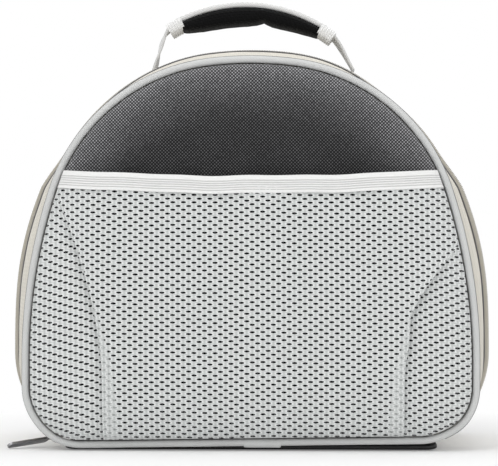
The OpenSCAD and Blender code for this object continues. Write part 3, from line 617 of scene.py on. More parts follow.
class Finish:
    """A node material for one finish of the carrier, with short calls for its nodes."""

    def __init__(self, name, base, roughness):
        self.base = base
        self.material = bpy.data.materials.new(name)
        self.material.use_nodes = True
        self.tree = self.material.node_tree
        self.shader = self.tree.nodes["Principled BSDF"]
        self.shader.inputs["Base Color"].default_value = base
        self.shader.inputs["Roughness"].default_value = roughness
        self.bump_chain = None

    def node(self, kind, **settings):
        made = self.tree.nodes.new(kind)
        for key, value in settings.items():
            setattr(made, key, value)
        return made

    def plug(self, source, target):
        self.tree.links.new(source, target)

    def feed(self, target, value):
        """Puts a number, a colour or another node's output into an input."""
        if isinstance(value, bpy.types.NodeSocket):
            self.plug(value, target)
        else:
            target.default_value = value

    def set(self, **values):
        for key, value in values.items():
            self.feed(self.shader.inputs[key.replace("_", " ")], value)

    def maths(self, operation, *values):
        made = self.node("ShaderNodeMath", operation=operation)
        for index, value in enumerate(values):
            self.feed(made.inputs[index], value)
        return made.outputs[0]

    def place(self):
        """Coordinates in the row frame, in metres."""
        return self.node("ShaderNodeTexCoord").outputs["Object"]

    def stretched(self, scale):
        """Coordinates in the row frame, each times its own scale."""
        made = self.node("ShaderNodeMapping")
        made.inputs["Scale"].default_value = scale
        self.plug(self.place(), made.inputs["Vector"])
        return made.outputs["Vector"]

    def cloth(self):
        """Coordinates along and across the cloth, in metres."""
        return self.parts(self.node("ShaderNodeUVMap", uv_map="Cloth").outputs["UV"])[:2]

    def parts(self, vector):
        made = self.node("ShaderNodeSeparateXYZ")
        self.plug(vector, made.inputs[0])
        return made.outputs

    def wave(self, value, pitch, shift=0.0):
        """Runs from 0 to 1 and back once for each pitch."""
        angle = self.maths("MULTIPLY_ADD", value, 2 * math.pi / pitch, shift)
        return self.maths("MULTIPLY_ADD", self.maths("SINE", angle), 0.5, 0.5)

    def specks(self, size, detail=3.0, vector=None):
        """Noise with grains of that size in metres, around 0.5."""
        made = self.node("ShaderNodeTexNoise")
        self.plug(vector or self.place(), made.inputs["Vector"])
        made.inputs["Scale"].default_value = 1.0 / size
        made.inputs["Detail"].default_value = detail
        made.inputs["Roughness"].default_value = 0.6
        return made.outputs["Fac"]

    def blend(self, share, low, high):
        """A colour from low to high by share."""
        made = self.node("ShaderNodeMix", data_type="RGBA", clamp_factor=True)
        self.feed(made.inputs[0], share)
        self.feed(made.inputs[6], low)
        self.feed(made.inputs[7], high)
        return made.outputs[2]

    def tone(self, share, dark):
        """The base colour where share is 1, and dark times as bright where it is 0."""
        return self.blend(share, scaled(self.base, dark), self.base)

    def spread(self, value, low, high, to_low=0.0, to_high=1.0):
        """Stretches values between low and high over the range from to_low to to_high."""
        made = self.node("ShaderNodeMapRange", clamp=True)
        self.feed(made.inputs["Value"], value)
        made.inputs["From Min"].default_value = low
        made.inputs["From Max"].default_value = high
        made.inputs["To Min"].default_value = to_low
        made.inputs["To Max"].default_value = to_high
        return made.outputs["Result"]

    def bump(self, height, distance, strength):
        """Adds a relief of up to distance over the ones before."""
        made = self.node("ShaderNodeBump")
        made.inputs["Strength"].default_value = strength
        made.inputs["Distance"].default_value = distance
        self.feed(made.inputs["Height"], height)
        if self.bump_chain is not None:
            self.plug(self.bump_chain, made.inputs["Normal"])
        self.bump_chain = made.outputs["Normal"]
        self.plug(self.bump_chain, self.shader.inputs["Normal"])

    def attribute(self, name):
        """A number that mark has kept on the mesh."""
        made = self.node("ShaderNodeAttribute", attribute_name=name, attribute_type="GEOMETRY")
        return made.outputs["Fac"]


def scaled(colour, factor):
    return (colour[0] * factor, colour[1] * factor, colour[2] * factor, 1.0)


def plain_weave(f, u, v, pitch):
    """Height of a plain weave: threads pass over and under each other."""
    along_u = f.wave(u, pitch)
    along_v = f.wave(v, pitch)
    turns = [f.maths("SINE", f.maths("MULTIPLY", value, math.pi / pitch)) for value in (u, v)]
    pick = f.spread(f.maths("MULTIPLY", *turns), -0.25, 0.25)
    over = f.maths("MULTIPLY", along_u, pick)
    under = f.maths("MULTIPLY", along_v, f.maths("SUBTRACT", 1.0, pick))
    return f.maths("ADD", over, under)


def dark_fabric(f):
    """Coarse dark cloth with a slanting weave; paler towards the moulded edge as painted light, where the
    rim catches the light, and darker over the flat middle as painted shade.
    """
    thread = colours().dark_thread
    x, _, z = f.parts(f.place())
    weave = f.maths("MULTIPLY", *[f.wave(f.maths(way, x, z), 0.0021) for way in ("ADD", "SUBTRACT")])
    speck = f.specks(0.0009, 4.0)
    share = f.maths("MULTIPLY", weave, f.spread(speck, 0.35, 0.65, 0.5, 1.5))
    share = f.maths("MULTIPLY", share, f.spread(f.specks(0.02, 2.0), 0.3, 0.7, 0.85, 1.1))
    # Painted light and shade: a dark copy of the cloth for the flat middle and a pale copy for the moulded
    # rim, blended by how near each point lies to the edge.
    deep = f.blend(share, scaled(f.base, 0.30), scaled(thread, 0.21))
    pale = f.blend(share, scaled(f.base, 2.6), scaled(thread, 0.86))
    painted_rim_light = f.maths("POWER", f.spread(f.attribute("edge"), 0.68, 1.0), 1.6)
    f.set(Base_Color=f.blend(painted_rim_light, deep, pale), Sheen_Weight=f.spread(painted_rim_light, 0.0, 1.0, 0.06, 0.35),
          Sheen_Roughness=0.45, Specular_IOR_Level=0.2)
    f.bump(weave, 0.0001, 0.4)
    f.bump(speck, 0.0001, 0.4)


def woven(f, pitch, relief, dark, sheen=0.15, gloss=0.3, wear=0.92):
    """Plain woven cloth along the cloth's own directions."""
    weave = plain_weave(f, *f.cloth(), pitch)
    cloth = f.tone(weave, dark)
    worn = f.blend(0.5, cloth, scaled(f.base, wear))
    f.set(Base_Color=f.blend(f.spread(f.specks(0.025), 0.35, 0.7), cloth, worn))
    f.set(Sheen_Weight=sheen, Sheen_Roughness=0.5, Specular_IOR_Level=gloss)
    f.bump(weave, relief, 0.8)
    f.bump(f.specks(pitch * 0.7), relief * 0.5, 0.5)


def net(f):
    """Knitted net: its raised threads keep the net's colour, and the ground between them is darkened as
    painted shade.
    """
    knit = f.specks(0.0005, 2.0)
    share = f.maths("ADD", f.attribute("rim"), f.spread(knit, 0.3, 0.7, -0.15, 0.15))
    f.set(Base_Color=f.blend(share, colours().net_valley_shade, f.base))
    f.set(Sheen_Weight=0.1, Specular_IOR_Level=0.35)
    f.bump(knit, 0.00012, 0.6)


def elastic(f):
    """Ribbed elastic with fine threads across it; its grooves are darkened as painted shade."""
    # Painted shade: the colour darkens to 0.55 in the grooves between the ribs.
    share = f.maths("MULTIPLY", f.attribute("rim"), f.spread(f.specks(0.0008), 0.2, 0.8, 0.85, 1.0))
    f.set(Base_Color=f.tone(share, 0.55), Sheen_Weight=0.15, Specular_IOR_Level=0.35)
    f.bump(f.wave(f.cloth()[0], 0.0007), 0.0001, 0.5)


def herringbone(f, along, across, fold, pitch):
    """Slanting ribs that turn back at every fold, from 0 to 1."""
    return f.wave(f.maths("ADD", along, f.maths("PINGPONG", across, fold)), pitch)


def zip_tape(f):
    """Woven zip tape in a fine herringbone."""
    bone = herringbone(f, *f.cloth(), 0.0012, 0.0009)
    patch = f.spread(f.specks(0.02, 2.0), 0.3, 0.7, 0.0, 0.4)
    f.set(Base_Color=f.blend(patch, f.tone(bone, 0.78), scaled(f.base, 0.9)))
    f.set(Sheen_Weight=0.1, Specular_IOR_Level=0.3)
    f.bump(bone, 0.00015, 0.8)


def webbing(f):
    """Handle webbing with slanting ribs along its length."""
    bone = herringbone(f, *f.cloth()[::-1], 0.004, 0.0016)
    f.set(Base_Color=f.tone(bone, 0.84), Sheen_Weight=0.15, Specular_IOR_Level=0.35)
    f.bump(bone, 0.00018, 0.8)
    f.bump(f.specks(0.0006), 0.00008, 0.5)


def thread(f):
    """Sewing thread with a slight twist."""
    speck = f.specks(0.0006, 2.0)
    f.set(Base_Color=f.tone(f.spread(speck, 0.3, 0.7), 0.85), Sheen_Weight=0.2, Specular_IOR_Level=0.4)
    f.bump(speck, 0.00006, 0.5)


def nylon(f):
    """Slightly glossy nylon of the zip coil."""
    speck = f.specks(0.004, 2.0)
    f.set(Base_Color=f.tone(f.spread(speck, 0.3, 0.7), 0.85))
    f.set(Roughness=f.spread(speck, 0.2, 0.8, 0.35, 0.5))


def metal(f, rough):
    """Brushed metal with small scuffs."""
    brush = f.specks(0.004, 4.0, f.stretched((1.0, 6.0, 8.0)))
    scuff = f.spread(f.specks(0.0015), 0.45, 0.75)
    f.set(Metallic=1.0, Base_Color=f.blend(scuff, f.base, scaled(f.base, 1.35)))
    f.set(Roughness=f.spread(brush, 0.25, 0.75, rough - 0.08, rough + 0.12))
    f.bump(brush, 0.00002, 0.4)


def moulded(f, rough):
    """Moulded plastic, foam or board with a fine grain."""
    wear = f.specks(0.01, 4.0)
    f.set(Base_Color=f.blend(f.spread(wear, 0.4, 0.75), f.base, scaled(f.base, 1.25)))
    f.set(Roughness=f.spread(wear, 0.3, 0.7, rough - 0.06, rough + 0.1))
    f.bump(f.specks(0.0007, 2.0), 0.00006, 0.5)


def black_base(f):
    """Black coated cloth, scuffed a little along its edge."""
    dust = f.specks(0.006, 5.0)
    f.set(Base_Color=f.blend(f.spread(dust, 0.55, 0.8), f.base, scaled(f.base, 3.0)))
    f.set(Roughness=f.spread(dust, 0.3, 0.7, 0.5, 0.72))
    f.bump(plain_weave(f, *f.parts(f.place())[:2], 0.0011), 0.0001, 0.6)


def wood(f):
    """Turned hardwood with long grain along the perch."""
    lengthwise = f.stretched((0.06, 1.0, 1.0))
    grain = f.specks(0.0016, 5.0, lengthwise)
    rings = f.node("ShaderNodeTexWave", wave_type="RINGS", rings_direction="X")
    f.plug(lengthwise, rings.inputs["Vector"])
    rings.inputs["Scale"].default_value = 160.0
    rings.inputs["Distortion"].default_value = 4.0
    tone = f.tone(rings.outputs["Fac"], 0.72)
    f.set(Base_Color=f.blend(f.spread(grain, 0.35, 0.65), scaled(f.base, 0.6), tone))
    f.set(Roughness=f.spread(grain, 0.3, 0.7, 0.62, 0.45))
    f.bump(grain, 0.00012, 0.5)


def fleece(f):
    """Soft absorbent fleece."""
    tuft = f.specks(0.0014, 5.0)
    patch = f.spread(f.specks(0.018, 2.0), 0.3, 0.7, 0.0, 0.5)
    f.set(Base_Color=f.blend(patch, f.tone(f.spread(tuft, 0.3, 0.7), 0.78), scaled(f.base, 0.88)))
    f.set(Sheen_Weight=0.5, Sheen_Roughness=0.6)
    f.bump(tuft, 0.0006, 0.7)


# For each finish: its maker, its colour, how bright that colour is, its roughness and the maker's settings.
FINISHES = {
    "dark_fabric": (dark_fabric, "dark_fabric", 1.0, 0.82, {}),
    "dark_mesh": (woven, "dark_fabric", 0.8, 0.85, {"pitch": 0.0008, "relief": 0.0001, "dark": 0.7}),
    "net": (net, "net", 1.0, 0.75, {}),
    "elastic": (elastic, "elastic", 1.0, 0.7, {}),
    "piping": (woven, "piping", 1.0, 0.85, {"pitch": 0.0009, "relief": 0.0001, "dark": 0.9, "sheen": 0.2}),
    "beige_fabric": (woven, "beige", 1.0, 0.85, {"pitch": 0.0012, "relief": 0.00014, "dark": 0.86}),
    "lining": (woven, "lining", 1.0, 0.85, {"pitch": 0.0010, "relief": 0.0001, "dark": 0.75}),
    "grip_wrap": (woven, "grip", 1.0, 0.85,
                  {"pitch": 0.0016, "relief": 0.0004, "dark": 0.3, "sheen": 0.03, "gloss": 0.12}),
    "cuff_cloth": (woven, "cuff", 1.0, 0.85,
                   {"pitch": 0.0008, "relief": 0.0001, "dark": 0.92, "sheen": 0.3}),
    "zip_tape": (zip_tape, "tape", 1.0, 0.85, {}),
    "zip_coil": (nylon, "coil", 1.0, 0.42, {}),
    "gunmetal": (metal, "metal", 1.0, 0.36, {"rough": 0.36}),
    "spring_steel": (metal, "steel", 1.0, 0.3, {"rough": 0.3}),
    "black_base": (black_base, "sole", 1.0, 0.6, {}),
    "foam": (moulded, "lining", 1.0, 0.9, {"rough": 0.9}),
    "board": (moulded, "lining", 1.0, 0.7, {"rough": 0.7}),
    "moulded_plastic": (moulded, "plastic", 1.0, 0.5, {"rough": 0.5}),
    "webbing": (webbing, "webbing", 1.0, 0.75, {}),
    "wood": (wood, "wood", 1.0, 0.5, {}),
    "pad": (fleece, "pad", 1.0, 0.95, {}),
    "pale_thread": (thread, "elastic", 1.0, 0.55, {}),
    "beige_thread": (thread, "beige", 0.85, 0.55, {}),
    # dark_thread is also the finish of the dark cords laid along the front wall's seams as painted shade.
    "dark_thread": (thread, "lining", 1.0, 0.55, {}),
}


MADE = {}


def material(name):
    """The material of a finish, made when it is first asked for."""
    if name not in MADE:
        maker, colour, bright, roughness, settings = FINISHES[name]
        finish = Finish(name, scaled(getattr(colours(), colour), bright), roughness)
        maker(finish, **settings)
        MADE[name] = finish.material
    return MADE[name]


# ---- pieces and bodies ----


def body_of_node(node):
    """The moving body that holds a CAD node."""
    for body, nodes in frame["record"]["behaviour"]["bodies"].items():
        if node in nodes:
            return body
    raise ValueError(f"no body holds {node}")


def detail_on(obj, node, look):
    """A separate detail that moves with a CAD node's body."""
    obj.data.materials.clear()
    obj.data.materials.append(material(look))
    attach(obj, body_of_node(node))
    return obj


def stand_in(obj, node, look):
    """The piece shows in place of a CAD node, and moves with it."""
    detail_on(obj, node, look)
    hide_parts(node)
    return obj


def rounded_stand_in(name, node, voxel, passes, look):
    """A rounded copy of a CAD node, shown in its place."""
    return stand_in(rounded_copy(name, node, voxel, passes), node, look)


# ---- moulded panels ----


RIM_INSET = 0.025
EDGE_SHARES = [1, 0.998, 0.994, 0.988, 0.98, 0.97, 0.955, 0.935, 0.91, 0.88, 0.84, 0.79, 0.72]


def dome_height(share):
    """How far a moulded panel stands proud, at a share of the way from its middle to its outline."""
    return outline().dome_rise * np.sqrt(np.maximum(0.0, 1 - np.minimum(1.0, share) ** 8))


def dome_rows(shares, y, way, depth):
    """Loops over a moulded panel, depth below its face."""
    rim = RIM_INSET * depth / outline().shell_wall
    return [at_y(shrunk(panel_loop(), s - rim), y + way * (dome_height(s) - depth)) for s in shares]


def panel_and_lining(names, nodes, y, way, shares, window):
    """A moulded panel and its lining, either with a window or with a middle that is filled. Each point
    keeps how near it lies to the moulded edge."""
    o = outline()
    walls = ((0.0, o.shell_wall, "dark_fabric"), (o.shell_wall, o.lining_wall, "lining"))
    for name, node, (depth, wall_t, look) in zip(names, nodes, walls):
        outer = dome_rows(shares, y, way, depth)
        inner = dome_rows(shares, y, way, depth + wall_t)
        if window:
            piece = shell(name, outer, inner, sharp=60.0)
        else:
            piece = skin(name, outer[::-1] + inner, sharp=60.0)
        order = shares + shares if window else shares[::-1] + shares
        # This share of the way to the moulded edge also sets the dark fabric's painted rim light and
        # painted shade over its middle.
        mark(piece, "edge", np.repeat(order, len(outer[0])))
        stand_in(piece, node, look)


class CARRIER_OT_front_panel(bpy.types.Operator):
    """Build the moulded front panel and its lining"""

    bl_idname = "carrier.front_panel"
    bl_label = "Front panel"

    def execute(self, context):
        names = ("front_panel", "front_panel_lining")
        shares = EDGE_SHARES + [0.62, 0.5, 0.36, 0.2, 0.06]
        panel_and_lining(names, ("front_shell", "front_lining"), front_y(), -1, shares, window=False)
        return {"FINISHED"}


# ---- pocket ----

# The net stops this far inside the panel's outline.
NET_EDGE = 0.0001
# A gap has eight points each for its cell, for the crest of its rim and for its hole.
POINTS_PER_GAP = 24
GAP_ANGLES = [0, 38, 90, 142, 180, 218, 270, 322]
CELL_CORNERS = [(1, 0), (1, 1), (0, 1), (-1, 1), (-1, 0), (-1, -1), (0, -1), (1, -1)]
ROW_TILT = 0.35
# Folds under the band: how far they wander, then size, wander, reach and shift of each wave.
FOLD_WANDER = 0.006
FOLD_WAVES = ((1.0, 1, 0.0115, 0.0), (0.6, -1, 0.0068, 1.1), (0.5, 2, 0.021, 0.4))
# Pleats swing outwards from a height on, over a reach and with a power; the right one has a knee too.
CREASE_SWING = 0.024
CREASES = {-1: (0.045, 0.103, 1.8), 1: (0.082, 0.038, 1.35)}
KNEE = (0.0034, 0.042, 0.040)
# Relief beside a pleat: at the foot, its growth up to the mouth, and how far it reaches.
MIDDLE_RISE = (0.0014, 0.0012, 0.0055)
SIDE_DIP = (-0.0011, -0.0022, 0.0075)
SIDE_SLOPES = {-1: 0.37, 1: 0.28}
SIDE_FROM = 0.080
TURNED_DEPTH = 0.0009


def dome_share(x, z):
    """How far places on the panel lie from its middle, as a share of the way to its outline."""
    loop = panel_loop()
    a = loop - PANEL_MIDDLE
    d = np.roll(loop, -1, axis=0) - loop
    out = np.stack([d[:, 1], -d[:, 0]], 1)
    reach = (a * out).sum(1)
    keep = np.abs(reach) > 1e-9
    p = np.stack([x, z], 1) - PANEL_MIDDLE
    return ((p @ out[keep].T) / reach[keep]).max(axis=1)


def net_half_width(z):
    """Half width of the pocket at a height."""
    o = outline()
    z = np.asarray(z, dtype=float)
    cx = o.panel_half_w - o.panel_corner_r
    cz = o.panel_foot + o.panel_corner_r
    low = cx + np.sqrt(np.maximum(0, o.panel_corner_r ** 2 - (cz - z) ** 2))
    high = o.panel_half_w - o.side_r + np.sqrt(np.maximum(0, o.side_r ** 2 - (z - o.panel_widest) ** 2))
    return np.where(z < cz, low, np.where(z < o.panel_widest, o.panel_half_w, high)) - NET_EDGE


def net_foot():
    return outline().panel_foot + NET_EDGE


def net_top():
    return pocket().band_top - pocket().band_h + 0.001


def net_rise(z):
    """Height on the pocket, from 0 at its foot to 1 at its mouth."""
    return (z - net_foot()) / (net_top() - net_foot())


def net_stand(x, z):
    """How far the net's outer face stands off the panel."""
    p = pocket()
    e = np.clip((net_half_width(z) - np.abs(x)) / 0.040, 0, 1)
    up = np.minimum(1, np.maximum(0, net_rise(z) * 1.6 + 0.1))
    return p.net_clear + p.net_wall + (p.mouth_depth - p.net_clear) * np.sin(np.pi / 2 * e) * up


def net_y(x, z):
    return front_y() - dome_height(dome_share(x, z)) - net_stand(x, z)


def net_folds(x, z):
    """Soft upright folds that hang from the band and die away below."""
    v = np.clip(net_rise(z), 0, 1)
    e = np.clip((net_half_width(z) - np.abs(x)) / 0.030, 0, 1)
    wander = FOLD_WANDER * np.sin(z * 37 + 1.3)
    fold = sum(size * np.sin((x + way * wander) / reach + shift) for size, way, reach, shift in FOLD_WAVES)
    return pocket().fold_depth * 0.5 * fold * v ** 1.3 * e


def crease(side, z):
    """Distance of a pleat from the middle: upright below, then swinging outwards."""
    start, reach, power = CREASES[side]
    swing = CREASE_SWING * np.clip((z - start) / reach, 0, 1.3) ** power
    if side < 0:
        return pocket().left_pleat + swing
    size, knee_from, knee_reach = KNEE
    return pocket().right_pleat + eased(0.0, size, (z - knee_from) / knee_reach) + swing


def nearest_crease(x, z):
    """Distance from the middle of the pleat on the same side as x."""
    return np.where(x < 0, crease(-1, z), crease(1, z))


def lap_width(z):
    """Width of the double layer behind a pleat: widest at the foot, gone at mid height."""
    return pocket().pleat_lap * (1 - np.clip((z - net_foot()) / 0.080, 0, 1) ** 1.6)


def lattice(x0, x1, z0, z1, pitch_x, pitch_z, half_w, half_h, rim_w):
    """A flat net of staggered oval gaps: points (x, z), how much each is rim, and quads."""
    rows = int(math.ceil((z1 - z0) / pitch_z)) + 1
    cols = int(math.ceil((x1 - x0) / pitch_x)) + 2
    i, j = np.meshgrid(np.arange(rows), np.arange(cols), indexing="ij")
    cx = x0 + (j + 0.5 * (i % 2)) * pitch_x - pitch_x / 2
    cz = z0 + i * pitch_z
    centres = np.stack([cx.ravel(), cz.ravel()], 1)
    cell = np.array(CELL_CORNERS) * np.array([pitch_x / 2, pitch_z / 2])
    crest = ray(GAP_ANGLES) * np.array([half_w + rim_w, half_h + rim_w * 0.8])
    gap = ray(GAP_ANGLES) * np.array([half_w, half_h])
    points = (centres[:, None, :] + np.concatenate([cell, crest, gap])[None]).reshape(-1, 2)
    # How much each point is rim: it raises the rims, and the pocket net's finish also darkens the lower
    # points between them as painted shade.
    rim = np.tile(np.repeat([0.0, 1.0, 0.55], 8), len(centres))
    k = np.arange(8)
    n = (k + 1) % 8
    quads = np.stack([k, n, n + 8, k + 8], 1)
    quads = np.concatenate([quads, quads + 8])
    faces = (quads[None] + POINTS_PER_GAP * np.arange(len(centres))[:, None, None]).reshape(-1, 4)
    return points, rim, faces


def cut_away(bm, place, way):
    """Cuts a mesh by a plane and drops what lies beyond it."""
    geom = bm.verts[:] + bm.edges[:] + bm.faces[:]
    bmesh.ops.bisect_plane(bm, geom=geom, plane_co=place, plane_no=way, clear_outer=True, dist=1e-7)


def cut_net(points, rim, faces, cuts, bends=()):
    """The part of a flat net left of every cut, each a point and a direction, and on the kept side
    of every bend, each a curve x(z) and 1 to keep what lies at smaller x, else -1."""
    bm = bmesh.new()
    layer = bm.verts.layers.float.new("rim")
    verts = [bm.verts.new((x, 0.0, z)) for x, z in points]
    for vert, share in zip(verts, rim):
        vert[layer] = share
    for face in faces:
        bm.faces.new([verts[i] for i in face])
    bmesh.ops.remove_doubles(bm, verts=bm.verts, dist=2e-6)
    for place, way in cuts:
        cut_away(bm, (place[0], 0.0, place[1]), (way[1], 0.0, -way[0]))
    for curve, keep in bends:
        for vert in bm.verts:
            vert.co.x -= curve(vert.co.z)
        cut_away(bm, (0, 0, 0), (keep, 0, 0))
        for vert in bm.verts:
            vert.co.x += curve(vert.co.z)
    bmesh.ops.delete(bm, geom=[v for v in bm.verts if not v.link_faces], context="VERTS")
    bm.verts.index_update()
    flat = np.array([(v.co.x, v.co.z) for v in bm.verts])
    shares = np.array([v[layer] for v in bm.verts])
    polygons = [[v.index for v in f.verts] for f in bm.faces]
    bm.free()
    return flat, shares, polygons


def thick_net(name, flat, shares, polygons, face_y, rise, thickness):
    """Gives a flat net its place, its raised rims and its thickness."""
    m = len(flat)
    front = np.stack([flat[:, 0], face_y - shares * rise, flat[:, 1]], 1)
    back = np.stack([flat[:, 0], np.broadcast_to(face_y + thickness, m), flat[:, 1]], 1)
    edges = set()
    for face in polygons:
        edges.update(zip(face, face[1:] + face[:1]))
    sides = [[b, a, a + m, b + m] for a, b in edges if (b, a) not in edges]
    backs = [[v + m for v in face[::-1]] for face in polygons]
    net_sheet = add_object(name, np.concatenate([front, back]), polygons + backs + sides, sharp=70.0)
    return face_out(mark(net_sheet, "rim", np.concatenate([shares, shares * 0.4])))


def loop_cuts(loop):
    """Cuts along a loop, as places and directions, for every third point of it."""
    loop = loop[::3]
    return list(zip(loop, unit(np.roll(loop, -1, axis=0) - loop)))


def outline_cuts():
    """Cuts along the pocket's outline and its mouth."""
    cuts = [cut for cut in loop_cuts(panel_loop(-NET_EDGE)) if cut[0][1] < net_top() + 0.01]
    return cuts + [((0.0, net_top() - 0.0005), (-1.0, 0.0))]


def net_sag(x, z):
    """Rows of the net wander a little up and down."""
    return 0.0006 * np.sin(x * 52 + z * 9) + 0.0004 * np.sin(x * 118 + 0.8)


def net_portion(name, x0, x1, bends, warp, behind=0.0):
    """One portion of the net, cut to its place and laid over the panel. Where its rows slope, its
    gaps step up whole and tilt only a little."""
    p = pocket()
    points, rim, faces = lattice(x0, x1, net_foot() - 0.040, net_top() + 0.030, p.pitch_across, p.pitch_up,
                                 p.gap_half_w, p.gap_half_h, p.rim_w)
    x, z = points.T
    lift = warp(x, z).reshape(-1, POINTS_PER_GAP)
    middle = lift.mean(axis=1, keepdims=True)
    lift[:, 8:] = middle + (lift[:, 8:] - middle) * ROW_TILT
    z = z + lift.ravel()
    flat, shares, polygons = cut_net(np.stack([crowded(x, z), z], 1), rim, faces, outline_cuts(), bends)
    x, z = flat.T
    face_y = net_y(x, z) - net_folds(x, z) - pleat_relief(x, z, name) + behind
    return thick_net(name, flat, shares, polygons, face_y, p.rim_rise, p.net_t)


def crowded(x, z):
    """Columns of gaps crowd together towards a pleat, as the cloth turns away there."""
    far = np.abs(x) - nearest_crease(x, z)
    near = np.exp(-np.abs(far) / 0.0045) - np.exp(-np.abs(far) / 0.028)
    return x + np.sign(x) * np.sign(far) * pocket().pleat_squeeze * near


def pleat_relief(x, z, name):
    """The middle portion stands forward at its pleats and the sides dip behind them."""
    line = nearest_crease(x, z)
    inwards = line - np.abs(x)
    room = np.clip((net_half_width(z) - line) / 0.020, 0, 1)
    v = np.clip(net_rise(z), 0, 1)
    at_side = name in ("net_left", "net_right")
    at_foot, growth, reach = SIDE_DIP if at_side else MIDDLE_RISE
    away = np.maximum(-inwards if at_side else inwards, 0)
    return (at_foot + growth * v) * np.exp(-away / reach) * room


def side_slope(side):
    """Rows of a side portion rise towards the middle, least at the mouth."""
    def warp(x, z):
        v = np.clip(net_rise(z), 0, 1)
        slope = SIDE_SLOPES[side] * np.minimum(1, (1 - v) / 0.3) * (0.7 + 0.3 * np.minimum(1, v / 0.15))
        return net_sag(x, z) - slope * (side * x - 0.110)
    return warp


def pleat_layer(side):
    """The layer of net turned under at the middle portion's edge, its gaps behind the front's threads."""
    p = pocket()
    bends = [(lambda z: side * (crease(side, z) - 0.0004), side),
             (lambda z: side * (crease(side, z) - lap_width(z)), -side)]
    x0 = -outline().panel_half_w + p.pitch_across / 2
    if side > 0:
        x0 += p.pitch_across * int((SIDE_FROM - x0) / p.pitch_across)
    return net_portion("turned_layer", x0, x0 + 0.060, bends, net_sag, TURNED_DEPTH)


# Grooves and seam of the band, as shares of its height.
BAND_GROOVES = (0.20, 0.33, 0.46, 0.58, 0.70)
BAND_SEAM = 0.045
GROOVE_DEPTH = 0.00045
BAND_CLEAR = 0.0003


def band_rib(rise):
    """Relief of the elastic across its height, from 0 in a groove to 1 on a rib, rise from 0 to 1."""
    relief = 1.0 - sum(0.85 * math.exp(-((rise - groove) / 0.028) ** 2) for groove in BAND_GROOVES)
    return max(0.0, relief) * math.sqrt(min(1.0, min(rise, 1 - rise) / 0.05))


class CARRIER_OT_pocket_net(bpy.types.Operator):
    """Build the three portions of the pocket's net, with a pleat at each side"""

    bl_idname = "carrier.pocket_net"
    bl_label = "Pocket net"

    def execute(self, context):
        o = outline()
        reach = o.panel_half_w
        bends = [(lambda z: -crease(-1, z), -1), (lambda z: crease(1, z), 1)]
        middle = net_portion("net_middle_sheet", -reach, reach, bends, net_sag)
        middle = joined("net_middle", [middle, pleat_layer(-1), pleat_layer(1)])
        stand_in(middle, "pocket_net_centre", "net")
        for side, name, node in ((-1, "net_left", "pocket_net_left"), (1, "net_right", "pocket_net_right")):
            x0 = min(side * SIDE_FROM, side * reach)
            bends = [(self.tucked_edge(side), -side)]
            piece = net_portion(name, x0, x0 + reach - SIDE_FROM, bends, side_slope(side))
            stand_in(piece, node, "net")
        return {"FINISHED"}

    def tucked_edge(self, side):
        """Edge of a side portion, under the middle portion's own."""
        def edge(z):
            fade = np.clip((0.100 - z) / 0.030, 0, 1)
            return side * (crease(side, z) - pocket().pleat_tuck * fade)
        return edge


class CARRIER_OT_pocket_band(bpy.types.Operator):
    """Build the ribbed elastic along the pocket's mouth"""

    bl_idname = "carrier.pocket_band"
    bl_label = "Pocket band"

    def execute(self, context):
        p = pocket()
        low = p.band_top - p.band_h
        levels = 64
        u = np.linspace(-1, 1, 151)
        middle = 1 - u * u
        half_low = float(net_half_width(low))
        base_y = net_y(half_low * u, np.full_like(u, low)) - BAND_CLEAR - p.band_t
        outer = []
        inner = []
        ribs = []
        for rise in np.arange(levels + 1) / levels:
            z_flat = low + rise * p.band_h
            x = net_half_width(np.full_like(u, z_flat)) * u
            wander = 0.00035 * np.sin(x * 75 + 0.6) + 0.00022 * np.sin(x * 163 + 2.0)
            z = z_flat + (wander - p.band_sag) * middle
            relief = band_rib(rise)
            pull = 0.0004 * np.sin(x * 60 + 0.5) * middle
            outer.append(np.stack([x, base_y + GROOVE_DEPTH * (1 - relief) + pull, z], 1))
            inner.append(np.stack([x, base_y + p.band_t - 0.0001 + pull, z], 1))
            ribs.append(relief)
        band = shell("elastic_band", outer, inner, closed=False, sharp=75.0)
        # The ribs' relief, which the elastic's finish also uses to darken the grooves as painted shade.
        mark(band, "rim", np.repeat(ribs + [0.9] * len(ribs), len(u)))
        stand_in(band, "pocket_band", "elastic")
        seam_z = low + BAND_SEAM * p.band_h
        x = net_half_width(np.full_like(u, seam_z)) * u * 0.985
        path = np.stack([x, base_y - 0.00002, seam_z - p.band_sag * middle], 1)
        row = stitches("band_stitching", path, (0.0, -1.0, 0.0))
        detail_on(row, "pocket_band", "pale_thread")
        return {"FINISHED"}


# ---- piping and side walls ----


SLEEVE_FROM = -0.004
SLEEVE_TO = 0.019


def piping_out():
    """Distance from the panel's outline to the middle of its cord."""
    return outline().piping_gap + outline().piping_r


class CARRIER_OT_piping(bpy.types.Operator):
    """Build the cord covers round both panels, with the patch over the front one's joint"""

    bl_idname = "carrier.piping"
    bl_label = "Piping"

    def execute(self, context):
        o = outline()
        loop = panel_loop(piping_out())
        s = path_lengths(loop, True)[:-1]
        radius = o.piping_r * (1 + 0.012 * np.sin(s * 95) + 0.01 * np.sin(s * 211 + 1))
        stand_in(flat_tube("front_cord", loop, front_y(), radius), "front_piping", "piping")
        stand_in(flat_tube("rear_cord", loop, rear_y(), radius), "rear_piping", "piping")
        x = np.linspace(SLEEVE_FROM, SLEEVE_TO, 24)
        ends = np.minimum(x - SLEEVE_FROM, SLEEVE_TO - x)
        swell = 0.00012 + 0.00038 * np.sqrt(np.clip(ends / 0.0009, 0, 1))
        path = np.stack([x, np.full_like(x, front_y()), np.full_like(x, o.panel_foot - piping_out())], 1)
        sleeve = skin("cord_joint_sleeve", tube_rows(path, o.piping_r * 1.02 + swell, 24, Z_WAY, Y_WAY))
        stand_in(sleeve, "piping_joint_cover", "piping")
        return {"FINISHED"}


